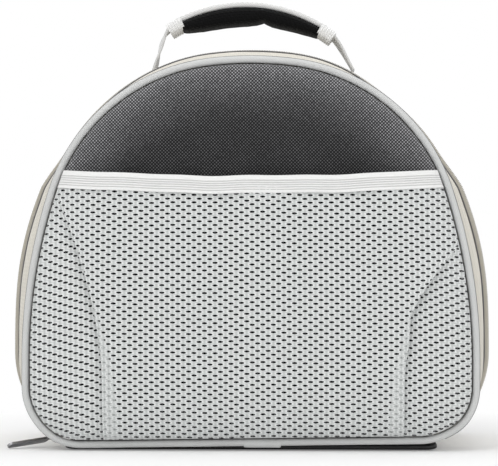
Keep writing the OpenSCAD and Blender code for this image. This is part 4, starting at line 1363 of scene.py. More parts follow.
# Above this height the front wall and its seam lie on the body's outline, with nothing sunk.
CREST_HEIGHT = 0.243
FRONT_SINK = 0.0023
# Share of the front wall's depth, or of the rear one's taper, over which it leaves its cord.
RIM_PART = 0.6
LINING_GAP = 0.00002


def gusset_loop(t, k, start):
    """A loop of the side walls, grown by k: at the cord where t is 0, the body's outline from RIM_PART."""
    share = math.sin(math.pi / 2 * min(1.0, t / RIM_PART))
    return panel_loop(piping_out() + k, start) * (1 - share) + ring_loop(k, start) * share


def sides_only(outer, inner):
    """A loop that lies on the inner one along the body's sides and on the outer one over its crest."""
    share = np.clip((CREST_HEIGHT - outer[:, 1]) / 0.090, 0, 1)[:, None]
    return outer * (1 - share) + inner * share


def with_ripples(rows, size, scale, seed):
    """Rows of a wall, moved in and out a little by smooth noise."""
    rows = np.array(rows)
    flat = rows.reshape(-1, 3)
    away = flat - np.array([0.0, 0.0, PANEL_MIDDLE[1]])
    away[:, 1] = 0
    return (flat + unit(away) * ripple(flat, size, scale, seed)[:, None]).reshape(rows.shape)


class CARRIER_OT_side_walls(bpy.types.Operator):
    """Build the beige side walls, their lining and their seams"""

    bl_idname = "carrier.side_walls"
    bl_label = "Side walls"

    def execute(self, context):
        self.front_wall()
        self.rear_wall()
        return {"FINISHED"}

    def front_wall(self):
        """The narrow wall between cord and zip, its padding sunk along the sides, with a thin dark cord
        along each of its seams as painted shade.
        """
        o = outline()
        start = zip_start()
        y0 = front_y() + o.piping_r
        y1 = zip_y() - gusset_edge()
        ts = np.concatenate([np.linspace(0, RIM_PART, 14), np.linspace(RIM_PART, 1.0, 9)[1:]])
        outer = []
        inner = []
        for t in ts:
            y = y0 + (y1 - y0) * t
            sunk = float(eased(0.0, FRONT_SINK, (t - 0.15) / 0.45))
            outer.append(at_y(sides_only(gusset_loop(t, 0.0, start), gusset_loop(t, -sunk, start)), y))
            inner.append(at_y(gusset_loop(t, -o.gusset_wall - sunk * 0.8, start), y))
        wall = shell("front_wall", with_ripples(outer, 0.0002, 0.018, 1), inner, closed=False)
        stand_in(wall, "front_gusset", "beige_fabric")
        # Painted shade: two thin dark cords stand for the shade in the grooves beside the piping and beside
        # the tape.
        at_tape = sides_only(ring_loop(0.0008, start), ring_loop(-0.0014, start))
        threads = [
            flat_tube("at_piping", panel_loop(piping_out() + o.piping_r, start), front_y() + 0.0014,
                      o.seam_shade_line_r, sides=8, closed=False),
            flat_tube("at_tape", at_tape, zip_y() - zipper().tape_w - 0.0003, o.seam_shade_line_r, sides=8,
                      closed=False),
        ]
        detail_on(joined("seam_threads", threads), "front_gusset", "dark_thread")

    def rear_wall(self):
        """The deep wall behind the zip, its lining and the seam round its rear end."""
        o = outline()
        y0 = rear_y() - o.piping_r
        y1 = rear_y() - o.rear_taper
        y2 = zip_y() + gusset_edge()
        rows = [(t, y0 + (y1 - y0) * t / RIM_PART) for t in np.linspace(0, RIM_PART, 14)]
        rows += [(1.0, y) for y in np.linspace(y1, y2, 26)[1:]]
        outer = with_ripples([at_y(gusset_loop(t, -0.0001, -90.0), y) for t, y in rows], 0.0007, 0.035, 2)
        inner = [at_y(gusset_loop(t, -o.gusset_wall, -90.0), y) for t, y in rows]
        stand_in(shell("rear_wall", outer, inner), "rear_gusset", "beige_fabric")
        outer, inner = [[at_y(ring_loop(-o.gusset_wall - k), y) for y in np.linspace(y2, y1, 14)]
                        for k in (LINING_GAP, o.lining_wall)]
        lining = shell("wall_lining", outer, with_ripples(inner, 0.0002, 0.02, 3))
        stand_in(lining, "gusset_lining", "lining")
        seam_y = rear_y() - o.rear_taper * 0.55
        seam_t = (y0 - seam_y) / (y0 - y1) * RIM_PART
        seam = loop_stitches("rear_wall_stitching", gusset_loop(seam_t, 0.0003, -90.0), seam_y, True)
        detail_on(seam, "rear_gusset", "beige_thread")


# ---- zip ----


TAPE_GAP = 0.0001
TAPE_LIP = 0.0005
TAPE_SEAMS = (0.30, 0.84)
# Share of the way from the tape's far edge to the coil, and height over the tape's flat part.
TAPE_PROFILE = [(0.0, -0.0032), (0.0, -0.0012), (0.02, -0.0002), (0.05, 0.0002), (0.10, 0.0003),
                (0.16, 0.0002), (0.22, 0.0001), (0.30, 0.0), (0.5, 0.0), (0.8, 0.0), (0.97, 0.0),
                (1.0, -0.0003)]


def tape_rows(near, far, k, start):
    """Outer face of a tape: its edge away from the coil is rolled under and stands up as a lip."""
    return [at_y(ring_loop(k + rise, start), far + (near - far) * share) for share, rise in TAPE_PROFILE]


class CARRIER_OT_zip_tapes(bpy.types.Operator):
    """Build both halves of the woven zip tape with their seams"""

    bl_idname = "carrier.zip_tapes"
    bl_label = "Zip tapes"

    def execute(self, context):
        z = zipper()
        start = zip_start()
        sides = ((-1, "front_tape", "front_zip_tape", "front_tape_stitching"),
                 (1, "rear_tape", "rear_zip_tape", "rear_tape_stitching"))
        for side, name, node, seam_name in sides:
            near = zip_y() + side * 0.0012
            far = zip_y() + side * z.tape_w
            outer = tape_rows(near, far, TAPE_GAP + z.tape_t, start)
            inner = [at_y(ring_loop(min(TAPE_GAP, TAPE_GAP + rise), start),
                          row[0][1] - side * (TAPE_LIP if share == 0.0 else 0.0))
                     for row, (share, rise) in zip(outer, TAPE_PROFILE)]
            stand_in(shell(name, outer, inner, closed=False, sharp=70.0), node, "zip_tape")
            loop = ring_loop(TAPE_GAP + z.tape_t, start)
            seams = [loop_stitches("seam", loop, zip_y() + side * z.tape_w * share, False, inset=0.004)
                     for share in TAPE_SEAMS]
            detail_on(joined(seam_name, seams), node, "beige_thread")
        return {"FINISHED"}


TOOTH_REACH = 0.0017
TOOTH_HEIGHT = 0.0015
TOOTH_THREAD = 0.20


def tooth_shape():
    """One tooth of the coil: a nylon loop from its tape up, over the middle and back, in unit axes."""
    profile = [(-1.0, 0.0), (-0.92, 0.62), (-0.45, 0.98), (0.15, 1.0), (0.42, 0.55), (0.28, 0.05)]
    sides = 6
    verts = []
    for index, (reach, height) in enumerate(profile):
        fat = 1.25 if index == 4 else 1.0
        for angle in 2 * np.pi * np.arange(sides) / sides:
            lean = math.sin(angle) * 0.30
            verts.append((math.cos(angle) * fat, reach + lean * 0.25, height + lean))
    quads, _ = grid_quads(len(profile), sides, True)
    last = (len(profile) - 1) * sides
    faces = quads.tolist() + [list(range(sides))[::-1], list(range(last, last + sides))]
    return verts, faces


class CARRIER_OT_zip_coils(bpy.types.Operator):
    """Build the interlocking teeth of both halves of the zip and its end stops"""

    bl_idname = "carrier.zip_coils"
    bl_label = "Zip coils"

    def execute(self, context):
        z = zipper()
        loop = ring_loop(0.0002, zip_start())
        normals = at_y(outward(loop, closed=False), 0.0)
        path = at_y(loop, zip_y())
        for side, name, node, shift in ((-1, "front_coil", "front_zip_coil", 0.0),
                                        (1, "rear_coil", "rear_zip_coil", 0.5)):
            i, f = along(path, z.tooth_pitch, False, inset=0.002)
            f = f + shift * z.tooth_pitch / np.linalg.norm(path[i + 1] - path[i], axis=1)
            up = unit(between(normals, i, np.clip(f, 0, 1)))
            ahead = unit(path[i + 1] - path[i])
            across = np.broadcast_to((0.0, -side * TOOTH_REACH, 0.0), up.shape)
            axes = np.stack([ahead * z.tooth_pitch * TOOTH_THREAD, across, up * TOOTH_HEIGHT], axis=1)
            teeth = copies(name, tooth_shape(), between(path, i, f) + up * 0.0002, axes)
            stand_in(teeth, node, "zip_coil")
        rounded_stand_in("zip_stops", "zip_end_stops", 0.00025, 3, "gunmetal")
        return {"FINISHED"}


class CARRIER_OT_zip_slider(bpy.types.Operator):
    """Build the slider and its flat pull"""

    bl_idname = "carrier.zip_slider"
    bl_label = "Zip slider"

    def execute(self, context):
        rounded_stand_in("slider_body", "zip_slider", 0.00018, 4, "gunmetal")
        pull = rounded_copy("slider_pull", "zip_pull", 0.00018, 5)
        self.roll(pull, 25.0)
        stand_in(pull, "zip_pull", "gunmetal")
        return {"FINISHED"}

    def roll(self, pull, angle):
        """Turns the pull about its own length, so that it lies askew, its front edge low."""
        verts = pull.data.vertices
        spots = np.array([v.co for v in verts])
        joints = {joint["name"]: joint for joint in frame["record"]["behaviour"]["joints"]}
        pin = np.array(joints["pull_swing"]["pos_m"])
        tip = spots[spots[:, 0] < spots[:, 0].min() + 0.002].mean(axis=0)
        axis = Vector(tip - pin).normalized()
        turn = Matrix.Rotation(math.radians(angle), 3, axis)
        turned = np.array([turn @ Vector(p - pin) for p in spots]) + pin
        share = np.clip((turned - pin) @ np.array(axis) / np.linalg.norm(tip - pin), 0, 1)
        turned[:, 2] += max(0.0, 0.0003 - turned[:, 2].min()) * share
        for vert, spot in zip(verts, turned):
            vert.co = spot


# ---- base ----

SOLE_CORNER_R = 0.006


def half_size(node):
    """Half the size of a CAD node's box, along each axis."""
    low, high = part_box(node)
    return (np.array(high) - np.array(low)) / 2


def rounded_outline(half_w, half_d, r, steps=8):
    """A rounded rectangle in X and Y, anticlockwise."""
    corners = ((1, -1, -90), (1, 1, 0), (-1, 1, 90), (-1, -1, 180))
    points = []
    for sx, sy, a0 in corners:
        for k in range(steps + 1):
            a = math.radians(a0 + 90 * k / steps)
            points.append((sx * (half_w - r) + r * math.cos(a), sy * (half_d - r) + r * math.sin(a)))
    return np.array(points)


def flat_ring(ring, z):
    """Points in space from points (x, y) and one height or one for each."""
    return np.stack([ring[:, 0], ring[:, 1], np.broadcast_to(z, len(ring))], 1)


class CARRIER_OT_base(bpy.types.Operator):
    """Build the black base, its stiffener and the covered sill"""

    bl_idname = "carrier.base"
    bl_label = "Base"

    def execute(self, context):
        half_w, half_d, _ = half_size("base_panel")
        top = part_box("base_panel")[1][2]
        rows = []
        for z, inset in ((0.0, 0.0012), (0.0003, 0.0004), (0.0009, 0.0), (top - 0.0008, 0.0),
                         (top - 0.0002, 0.0005), (top, 0.0012)):
            ring = rounded_outline(half_w - inset, half_d - inset, SOLE_CORNER_R - inset)
            rows.append(flat_ring(ring, z))
        sole = skin("black_sole", rows, sharp=50.0)
        for vert in sole.data.vertices:
            ahead = (abs(vert.co.x) - (half_w - 0.020)) / 0.020
            vert.co.z += 0.0011 * max(0.0, ahead) ** 2
        stand_in(sole, "base_panel", "black_base")
        rounded_stand_in("floor_stiffener", "base_board", 0.0008, 3, "board")
        rounded_stand_in("covered_sill", "door_sill", 0.0008, 3, "foam")
        return {"FINISHED"}


# ---- rear ----

# The window's mesh: pitch across and up, half width and height of a gap, and width of its rim.
WINDOW_LATTICE = (0.0052, 0.0026, 0.0017, 0.0009, 0.0003)
WINDOW_MARGIN = 0.004
BINDING_OUT = 0.012
BINDING_R = 0.0014
BINDING_SPREAD = 2.6


class CARRIER_OT_rear(bpy.types.Operator):
    """Build the rear panel, its lining, its mesh window and the window's binding"""

    bl_idname = "carrier.rear"
    bl_label = "Rear panel"

    def execute(self, context):
        w = outline().window_share
        names = ("back_panel", "back_panel_lining")
        shares = EDGE_SHARES + [(EDGE_SHARES[-1] + w) / 2, w]
        panel_and_lining(names, ("rear_panel", "rear_lining"), rear_y(), 1, shares, window=True)
        low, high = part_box("rear_window_mesh")
        points, rim, faces = lattice(low[0] - WINDOW_MARGIN, high[0] + WINDOW_MARGIN,
                                     low[2] - WINDOW_MARGIN, high[2] + WINDOW_MARGIN, *WINDOW_LATTICE)
        cuts = loop_cuts(shrunk(panel_loop(), w + 0.04 - RIM_INSET))
        window = thick_net("window_mesh", *cut_net(points, rim, faces, cuts), (low[1] + high[1]) / 2,
                           rise=-0.00015, thickness=0.0004)
        stand_in(window, "rear_window_mesh", "dark_mesh")
        edge = shrunk(panel_loop(), w + BINDING_OUT)
        top_y = rear_y() + float(dome_height(w)) + 0.0002
        binding = flat_tube("window_binding", edge, top_y, BINDING_R, sides=14, wider=BINDING_SPREAD)
        detail_on(binding, "rear_panel", "piping")
        seam = stitches("window_stitching", at_y(edge, top_y + 0.00135), Y_WAY, True)
        detail_on(seam, "rear_panel", "pale_thread")
        return {"FINISHED"}


HOOP_T = 0.0012
HOOP_W = 0.008


class CARRIER_OT_hoops(bpy.types.Operator):
    """Build the flat spring hoops inside the arch"""

    bl_idname = "carrier.hoops"
    bl_label = "Spring hoops"

    def execute(self, context):
        o = outline()
        face = -o.gusset_wall - o.lining_wall - LINING_GAP
        parts = []
        for y0 in (zip_y() + gusset_edge(), rear_y() - o.rear_taper - HOOP_W):
            sections = ((0.0, 0.0004), (0.0003, 0.0001), (0.0008, 0.0), (HOOP_W - 0.0008, 0.0),
                        (HOOP_W - 0.0003, 0.0001), (HOOP_W, 0.0004))
            outer = [at_y(ring_loop(face - e), y0 + y) for y, e in sections]
            inner = [at_y(ring_loop(face - HOOP_T + e), y0 + y) for y, e in sections]
            parts.append(shell("hoop", outer, inner))
        stand_in(joined("spring_hoops", parts), "frame_hoops", "spring_steel")
        return {"FINISHED"}


# ---- handle ----

# Feet of the strap: height of the tabs' ridges over the crown, room above them, and the slope in
# degrees of the foot's cut corners with the height over which it fades.
FOOT_HEIGHT = 0.006
FOOT_GAP = 0.0003
FOOT_SLOPE = 7
FOOT_FADE = 0.008
SEAM_INSET = 0.003
TAB_HALF = 0.012
TAB_T = 0.0013
TAB_GAP = 0.00025
CROSS_HALF = 0.0085
CROSS_GAP = 0.0021


def curve_spot(r, a):
    """A place on the grip's curve; a in degrees from straight up, to the right."""
    h = handle()
    a = np.radians(a)
    return np.array([-h.lean, h.top - h.curve_r]) + np.stack([r * np.sin(a), r * np.cos(a)], axis=-1)


def crown_height(loop, x):
    """Height and slope in degrees of a loop's upper side at a distance from the middle."""
    upper = loop[loop[:, 1] > PANEL_MIDDLE[1]]
    upper = upper[np.argsort(upper[:, 0])]
    step = 0.004
    behind, z, ahead = np.interp([x - step, x, x + step], upper[:, 0], upper[:, 1])
    return float(z), math.degrees(math.atan2(ahead - behind, 2 * step))


def foot_top():
    """Height of the ridges that carry the strap's feet."""
    return crown_height(ring_loop(), handle().foot_x)[0] + FOOT_HEIGHT


def smooth_path(points, steps):
    """A Catmull-Rom curve through points."""
    points = np.asarray(points, dtype=float)
    ends = np.concatenate([[2 * points[0] - points[1]], points, [2 * points[-1] - points[-2]]])
    made = []
    for i in range(1, len(ends) - 2):
        p0, p1, p2, p3 = ends[i - 1:i + 3]
        for t in np.arange(steps) / steps:
            made.append(0.5 * (2 * p1 + (p2 - p0) * t + (2 * p0 - 5 * p1 + 4 * p2 - p3) * t * t
                               + (3 * p1 - p0 - 3 * p2 + p3) * t ** 3))
    made.append(points[-1])
    return np.array(made)


def strap_path():
    """Middle line of the webbing from its left foot over the grip to its right foot, in X and Z."""
    h = handle()
    r = h.curve_r - h.strap_t / 2
    left = -math.degrees(h.bend_left)
    right = math.degrees(h.bend_right)
    points = [curve_spot(r, a) for a in np.linspace(left + 3, right - 3, 14)]
    legs = []
    for side, bend, bow in ((-1, left, 0.0004), (1, right, 0.0006)):
        knee = curve_spot(r, bend) + np.array([side * 0.0028, -0.0052])
        foot = np.array([side * h.foot_x, foot_top() + FOOT_GAP])
        legs.append([knee, foot * 0.55 + knee * 0.45 + np.array([side * bow, 0.0]), foot])
    return smooth_path(legs[0][::-1] + points + legs[1], 8)


def ribbon(name, path, half_w, half_t, twist, middle_y):
    """Webbing along a path in X and Z: its width lies along Y, turned about the path by twist degrees."""
    rows = []
    for p, way, t, turn in zip(path, -outward(path, closed=False), half_t, np.radians(twist)):
        section = rounded_outline(half_w, t, t * 0.84, steps=4)
        y = section[:, 0] * math.cos(turn) - section[:, 1] * math.sin(turn)
        lift = section[:, 0] * math.sin(turn) + section[:, 1] * math.cos(turn)
        rows.append(np.stack([p[0] + lift * way[0], middle_y + y, p[1] + lift * way[1]], 1))
    return skin(name, rows, sharp=50.0)


class CARRIER_OT_handle_strap(bpy.types.Operator):
    """Build the webbing strap with its stitching and the tabs that hold its feet"""

    bl_idname = "carrier.handle_strap"
    bl_label = "Handle strap"

    def execute(self, context):
        h = handle()
        path = strap_path()
        s = path_lengths(path, False)
        low = np.minimum(s, s[-1] - s)
        half_t = eased(h.leg_t, h.strap_t, (low - 0.020) / 0.020) / 2
        left_twist = 8.0 * np.exp(-((s - 0.020) / 0.009) ** 2)
        right_twist = 3.5 * np.exp(-((s[-1] - s - 0.022) / 0.010) ** 2)
        strap = ribbon("webbing_strap", path, h.strap_w / 2, half_t, left_twist - right_twist, h.middle_y)
        self.cut_feet(strap, path[0][1])
        stand_in(strap, "handle_strap", "webbing")
        self.add_seams(path)
        self.add_tabs()
        return {"FINISHED"}

    def cut_feet(self, strap, foot_z):
        """Takes the corners of both feet back, so that the strap can tip on its tabs."""
        slope = math.tan(math.radians(FOOT_SLOPE))
        for vert in strap.data.vertices:
            share = max(0.0, 1 - (vert.co.z - foot_z) / FOOT_FADE)
            vert.co.z += abs(vert.co.y - handle().middle_y) * slope * share

    def add_seams(self, path):
        """Two rows of stitches along the strap over the grip."""
        h = handle()
        used = slice(len(path) // 6, -(len(path) // 6))
        n = -outward(path, closed=False)[used]
        top = path[used] + n * h.strap_t / 2
        rows = [stitches("row", at_y(top, h.middle_y + side * (h.strap_w / 2 - SEAM_INSET)), at_y(n, 0.0))
                for side in (-1, 1)]
        detail_on(joined("strap_stitching", rows), "handle_strap", "pale_thread")

    def add_tabs(self):
        """A tab sewn to the crown under each foot, with boxed crosses of stitches."""
        h = handle()
        steps = 16
        parts = []
        threads = []
        for middle in (-h.foot_x, h.foot_x):
            loop = ring_loop(TAB_GAP)
            ground, slope = crown_height(loop, middle)
            xs = np.linspace(middle - TAB_HALF, middle + TAB_HALF, steps + 1)
            line = np.array([[x, crown_height(loop, x)[0]] for x in xs])
            normal = ray(slope + 90)
            k = np.arange(steps + 1)
            lift = TAB_T * np.sqrt(np.clip(np.minimum(k, steps - k) / 1.5, 0, 1))
            ys = np.linspace(-h.strap_w / 2, h.strap_w / 2, 13) + h.middle_y
            outer = [at_y(line + normal * lift[:, None], y) for y in ys]
            parts.append(shell("tab", outer, [at_y(line, y) for y in ys], closed=False))
            parts.append(self.ridge(middle, ground + 0.0008))
            threads.append(self.crosses(middle, line, normal))
        stand_in(joined("strap_tabs", parts), "handle_anchors", "webbing")
        detail_on(joined("tab_stitching", threads), "handle_anchors", "pale_thread")

    def ridge(self, x, ground):
        """The folded loop of webbing that stands up from a tab."""
        h = handle()
        top = foot_top()
        narrow = rounded_outline(h.strap_t / 2, h.strap_w / 2, 0.0009, steps=3)
        rows = []
        for z, share in ((ground, 1.0), (top - 0.0048, 0.98), (top - 0.0024, 0.49), (top - 0.0006, 0.12),
                         (top, 0.04)):
            rows.append(flat_ring(np.array([x, h.middle_y]) + narrow * np.array([1.0, share]), z))
        return skin("ridge", rows)

    def crosses(self, middle, line, normal):
        """Two boxes of stitches with a cross stroke in each, one on either side of a tab's ridge."""
        h = handle()
        reach = h.strap_w / 2 - SEAM_INSET
        low = h.middle_y - reach
        high = h.middle_y + reach
        rows = []
        for x0, x1 in middle + np.array([(-CROSS_HALF, -CROSS_GAP), (CROSS_GAP, CROSS_HALF)]):
            corners = [(x0, low), (x1, low), (x1, high), (x0, high), (x0, low), (x1, high)]
            for a, b in zip(corners, corners[1:]):
                x, y = np.linspace(a, b, 12).T
                path = np.stack([x, y, np.interp(x, line[:, 0], line[:, 1])], 1)
                up = np.array([normal[0], 0.0, normal[1]])
                rows.append(stitches("row", path + up * TAB_T, up))
        return joined("cross", rows)


# Radius of the grip's underside at angles in degrees from straight up.
GRIP_UNDERSIDE = [(-28.5, 0.0894), (-25.5, 0.0868), (-23, 0.0855), (-19, 0.0838), (-13, 0.0827),
                  (-5, 0.0823), (1, 0.0826), (5, 0.0836), (7.4, 0.0850), (8.1, 0.0856), (8.9, 0.0850),
                  (12, 0.0838), (16, 0.0838), (20, 0.0844), (26, 0.0857), (31.2, 0.0876), (33.8, 0.0894)]
CUFF_UNDERSIDE = 0.0886
CUFF_LAP = 0.6
WRAP_T = 0.0016


def across_grip(a, low, high, half_w, full, powers, sides):
    """A section across the handle at an angle of its curve: a rounded box between two radii. full is the
    share of that height it fills, and powers flatten its sides, its top and its underside."""
    t = 2 * np.pi * np.arange(sides) / sides
    side_flat, top_flat, under_flat = powers
    c = np.cos(t)
    s = np.sin(t)
    wide = np.sign(c) * np.abs(c) ** side_flat * half_w
    tall = np.sign(s) * np.abs(s) ** np.where(s > 0, top_flat, under_flat) * (high - low) / 2 * full
    x, z = curve_spot((high + low) / 2 + tall, a).T
    return np.stack([x, handle().middle_y + wide, z], 1)


class CARRIER_OT_handle_grip(bpy.types.Operator):
    """Build the padded grip, its foam and the ribbed cuffs"""

    bl_idname = "carrier.handle_grip"
    bl_label = "Handle grip"

    def execute(self, context):
        h = handle()
        span = math.degrees(h.cuff_angle)
        left = -math.degrees(h.bend_left) + span / 2
        right = math.degrees(h.bend_right) - span / 2
        angles = np.linspace(left, right, 100)
        under = np.interp(angles, [a for a, _ in GRIP_UNDERSIDE], [r for _, r in GRIP_UNDERSIDE])
        over = h.curve_r - h.strap_t - 0.0001
        grip = self.padded_form("padded_grip", angles, under, over, h.grip_w / 2)
        stand_in(grip, "handle_grip", "grip_wrap")
        core = self.padded_form("grip_foam", angles[2:-2], under[2:-2] + WRAP_T, over - WRAP_T,
                                h.grip_w / 2 - 0.0018)
        stand_in(core, "handle_core", "foam")
        self.add_cuffs()
        return {"FINISHED"}

    def padded_form(self, name, angles, under, over, half_w):
        """A rounded bar that follows the strap's curve, with rounded ends."""
        rows = []
        for index, (a, low) in enumerate(zip(angles, under)):
            end = min(index, len(angles) - 1 - index)
            ease = math.sqrt(min(1.0, (end + 0.6) / 3.0))
            wide = half_w * (0.96 + 0.04 * ease)
            rows.append(across_grip(a, low, over, wide, ease, (0.55, 0.42, 0.75), 36))
        return skin(name, rows)

    def add_cuffs(self):
        """A ribbed sleeve wound round each end of the grip."""
        h = handle()
        span = math.degrees(h.cuff_angle)
        parts = []
        for a0 in (-math.degrees(h.bend_left) - CUFF_LAP, math.degrees(h.bend_right) - span + CUFF_LAP):
            rows = []
            for share in np.linspace(0, 1, 90):
                ease = math.sqrt(min(1.0, min(share, 1 - share) / 0.035))
                bump = (0.5 + 0.5 * math.cos(2 * math.pi * h.cuff_ribs * share)) * ease
                low = CUFF_UNDERSIDE - 0.0004 * bump
                high = h.curve_r + 0.0001 + 0.0005 * bump
                wide = h.grip_w / 2 + 0.0004 + 0.0005 * bump
                rows.append(across_grip(a0 + span * share, low, high, wide, 0.9 + 0.1 * ease,
                                        (0.5, 0.5, 0.5), 40))
            parts.append(skin("cuff", rows, sharp=80.0))
        stand_in(joined("ribbed_cuffs", parts), "grip_cuffs", "cuff_cloth")


# ---- cabin ----

# Places across a turned groove, and the share of the perch's radius at each.
GROOVE_SHAPE = ((0.0, 1.0), (0.0005, 0.93), (0.0010, 0.93), (0.0015, 1.0))


class CARRIER_OT_perch(bpy.types.Operator):
    """Build the turned perch, its saddles and their rivets"""

    bl_idname = "carrier.perch"
    bl_label = "Perch"

    def execute(self, context):
        low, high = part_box("perch_bar")
        half_l, _, r = half_size("perch_bar")
        middle = (np.array(low) + np.array(high)) / 2
        turned = [(0.0, 0.55), (0.0004, 0.8), (0.0012, 0.96), (0.002, 1.0)]
        for groove in (0.022, 0.027):
            turned += [(groove + x, share) for x, share in GROOVE_SHAPE]
        turned = [(x - half_l, share) for x, share in turned]
        turned += [(x, 1.0) for x in np.linspace(-half_l + 0.034, 0, 12)]
        x, shares = np.array(turned + [(-x, share) for x, share in turned[-2::-1]]).T
        path = middle + np.outer(x, X_WAY)
        perch = skin("turned_perch", tube_rows(path, r * shares, 40, Y_WAY, Z_WAY), sharp=40.0)
        stand_in(perch, "perch_bar", "wood")
        rounded_stand_in("perch_saddle_pair", "perch_saddles", 0.0004, 3, "moulded_plastic")
        rounded_stand_in("rivet_heads", "saddle_rivets", 0.00018, 3, "spring_steel")
        return {"FINISHED"}


PAD_SHARES = (0.995, 0.98, 0.95, 0.91, 0.86, 0.8, 0.73, 0.65, 0.56, 0.46, 0.35, 0.22, 0.08)
QUILT = 0.030
QUILT_DEPTH = 0.0010


class CARRIER_OT_floor_pad(bpy.types.Operator):
    """Build the quilted floor pad with its bound edge"""

    bl_idname = "carrier.floor_pad"
    bl_label = "Floor pad"

    def execute(self, context):
        half_w, half_d, half_t = half_size("floor_pad")
        middle_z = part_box("floor_pad")[0][2] + half_t
        ring = rounded_outline(half_w, half_d, 0.010, steps=10)
        upper = []
        lower = []
        for share in PAD_SHARES:
            spots = ring * share
            x, y = spots.T
            full = math.sqrt(1 - share ** 10)
            quilt = np.abs(np.sin(np.pi * np.array([x + y, x - y]) / QUILT)).min(axis=0)
            dent = QUILT_DEPTH * np.exp(-(quilt / 0.22) ** 2) * full
            upper.append(flat_ring(spots, middle_z + half_t * full - dent))
            lower.append(flat_ring(spots, middle_z - half_t * full))
        pad = skin("quilted_pad", upper[::-1] + [flat_ring(ring, middle_z)] + lower, sharp=80.0)
        stand_in(pad, "floor_pad", "pad")
        path = flat_ring(ring * np.array([0.992, 0.985]), middle_z)
        side_way = flat_ring(outward(path[:, :2]), 0.0)
        edge = skin("pad_binding", tube_rows(path, BINDING_R, 12, side_way, Z_WAY), closed_rows=True)
        detail_on(edge, "floor_pad", "piping")
        return {"FINISHED"}


# ---- stage ----


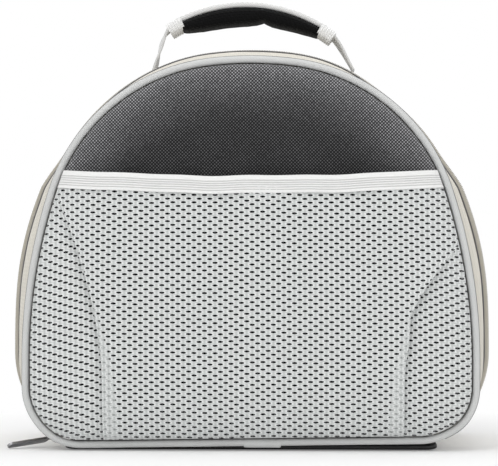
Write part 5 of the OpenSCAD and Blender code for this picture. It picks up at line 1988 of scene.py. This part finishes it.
class CARRIER_OT_stage(bpy.types.Operator):
    """Set up the pale floor, the soft lamps, the sky and the camera"""

    bl_idname = "carrier.stage"
    bl_label = "Stage"

    def execute(self, context):
        scene = context.scene
        self.add_floor()
        self.add_world(scene)
        self.add_lamps()
        self.add_camera(scene)
        scene.view_settings.view_transform = "Standard"
        return {"FINISHED"}

    def add_floor(self):
        """A pale floor that turns white, as the camera sees it, away from the carrier."""
        corners = [(x, y, 0) for x, y in ((-6, -6), (6, -6), (6, 6), (-6, 6))]
        floor = add_object("studio_floor", corners, [[0, 1, 2, 3]])
        f = Finish("studio_floor", colours().floor, 1.0)
        x, y, _ = f.parts(f.place())
        away = f.maths("SQRT", f.maths("ADD", f.maths("MULTIPLY", x, x), f.maths("MULTIPLY", y, y)))
        seen = f.node("ShaderNodeLightPath").outputs["Is Camera Ray"]
        f.set(Base_Color=f.blend(seen, (0.95, 0.95, 0.95, 1.0), colours().floor), Specular_IOR_Level=0.0)
        f.set(Emission_Color=(1, 1, 1, 1), Emission_Strength=f.maths("MULTIPLY", seen, 0.17))
        white = f.node("ShaderNodeEmission")
        both = f.node("ShaderNodeMixShader")
        f.plug(f.maths("MULTIPLY", f.spread(away, 0.17, 0.33), seen), both.inputs[0])
        f.plug(f.shader.outputs[0], both.inputs[1])
        f.plug(white.outputs[0], both.inputs[2])
        f.plug(both.outputs[0], f.tree.nodes["Material Output"].inputs["Surface"])
        floor.data.materials.append(f.material)

    def add_world(self, scene):
        world = bpy.data.worlds.new("studio")
        scene.world = world
        world.use_nodes = True
        nodes = world.node_tree.nodes
        plug = world.node_tree.links.new
        nodes.clear()
        out = nodes.new("ShaderNodeOutputWorld")
        sky = nodes.new("ShaderNodeBackground")
        sky.inputs["Color"].default_value = (1, 1, 1, 1)
        rays = nodes.new("ShaderNodeLightPath")
        seen = nodes.new("ShaderNodeMath")
        seen.operation = "MAXIMUM"
        strength = nodes.new("ShaderNodeMapRange")
        strength.inputs["To Min"].default_value = 0.62
        strength.inputs["To Max"].default_value = 1.0
        plug(rays.outputs["Is Camera Ray"], seen.inputs[0])
        plug(rays.outputs["Is Glossy Ray"], seen.inputs[1])
        plug(seen.outputs[0], strength.inputs["Value"])
        plug(strength.outputs["Result"], sky.inputs["Strength"])
        plug(sky.outputs[0], out.inputs["Surface"])

    def add_lamps(self):
        for name, place, size, power in (
            ("key_lamp", (-0.9, -1.3, 1.7), 1.2, 12.5),
            ("top_lamp", (0.1, 0.1, 1.9), 1.5, 13.0),
            ("fill_lamp", (1.3, -1.2, 0.9), 1.2, 5.0),
            ("front_lamp", (0.0, -1.7, 0.12), 1.0, 4.0),
        ):
            data = bpy.data.lights.new(name, "AREA")
            data.shape = "SQUARE"
            data.size = size
            data.energy = power
            self.aimed(new_object(name, data), place, (0, 0, 0.12))

    def add_camera(self, scene):
        frame_px = 498
        focal_px = 2419
        rise_px = 11.5
        data = bpy.data.cameras.new("camera")
        data.sensor_width = 36.0
        data.lens = focal_px / frame_px * data.sensor_width
        data.shift_y = rise_px / frame_px
        data.clip_end = 50
        camera = new_object("camera", data)
        self.aimed(camera, (0.0419, -1.5714, 0.128), (-0.0008, front_y(), 0.128))
        scene.camera = camera

    def aimed(self, obj, place, target):
        """Puts a lamp or a camera at a place and turns it to a target."""
        obj.location = place
        aim = Vector(target) - Vector(place)
        obj.rotation_euler = aim.to_track_quat("-Z", "Y").to_euler()


OPERATORS = (
    CARRIER_OT_front_panel,
    CARRIER_OT_pocket_net,
    CARRIER_OT_pocket_band,
    CARRIER_OT_piping,
    CARRIER_OT_side_walls,
    CARRIER_OT_zip_tapes,
    CARRIER_OT_zip_coils,
    CARRIER_OT_zip_slider,
    CARRIER_OT_base,
    CARRIER_OT_rear,
    CARRIER_OT_hoops,
    CARRIER_OT_handle_strap,
    CARRIER_OT_handle_grip,
    CARRIER_OT_perch,
    CARRIER_OT_floor_pad,
    CARRIER_OT_stage,
)

GROUPS = {
    "carrier_outline": CarrierOutline,
    "carrier_pocket": CarrierPocket,
    "carrier_handle": CarrierHandle,
    "carrier_zip": CarrierZip,
    "carrier_colours": CarrierColours,
}


class CARRIER_PT_pieces(bpy.types.Panel):
    """Lists the carrier's pieces and their sizes"""

    bl_idname = "CARRIER_PT_pieces"
    bl_label = "Bird Travel Carrier"
    bl_space_type = "VIEW_3D"
    bl_region_type = "UI"
    bl_category = "Carrier"

    def draw(self, context):
        column = self.layout.column(align=True)
        for operator in OPERATORS:
            column.operator(operator.bl_idname)
        for key in GROUPS:
            group = getattr(context.scene, key)
            box = self.layout.box()
            for name in group.__class__.__annotations__:
                box.prop(group, name)


def register():
    for group in GROUPS.values():
        bpy.utils.register_class(group)
    for key, group in GROUPS.items():
        setattr(bpy.types.Scene, key, PointerProperty(type=group))
    for operator in OPERATORS:
        bpy.utils.register_class(operator)
    bpy.utils.register_class(CARRIER_PT_pieces)


def unregister():
    bpy.utils.unregister_class(CARRIER_PT_pieces)
    for operator in reversed(OPERATORS):
        bpy.utils.unregister_class(operator)
    for key in GROUPS:
        delattr(bpy.types.Scene, key)
    for group in reversed(list(GROUPS.values())):
        bpy.utils.unregister_class(group)


def main():
    register()
    for operator in OPERATORS:
        family, name = operator.bl_idname.split(".")
        getattr(getattr(bpy.ops, family), name)()


if __name__ == "__main__":
    main()
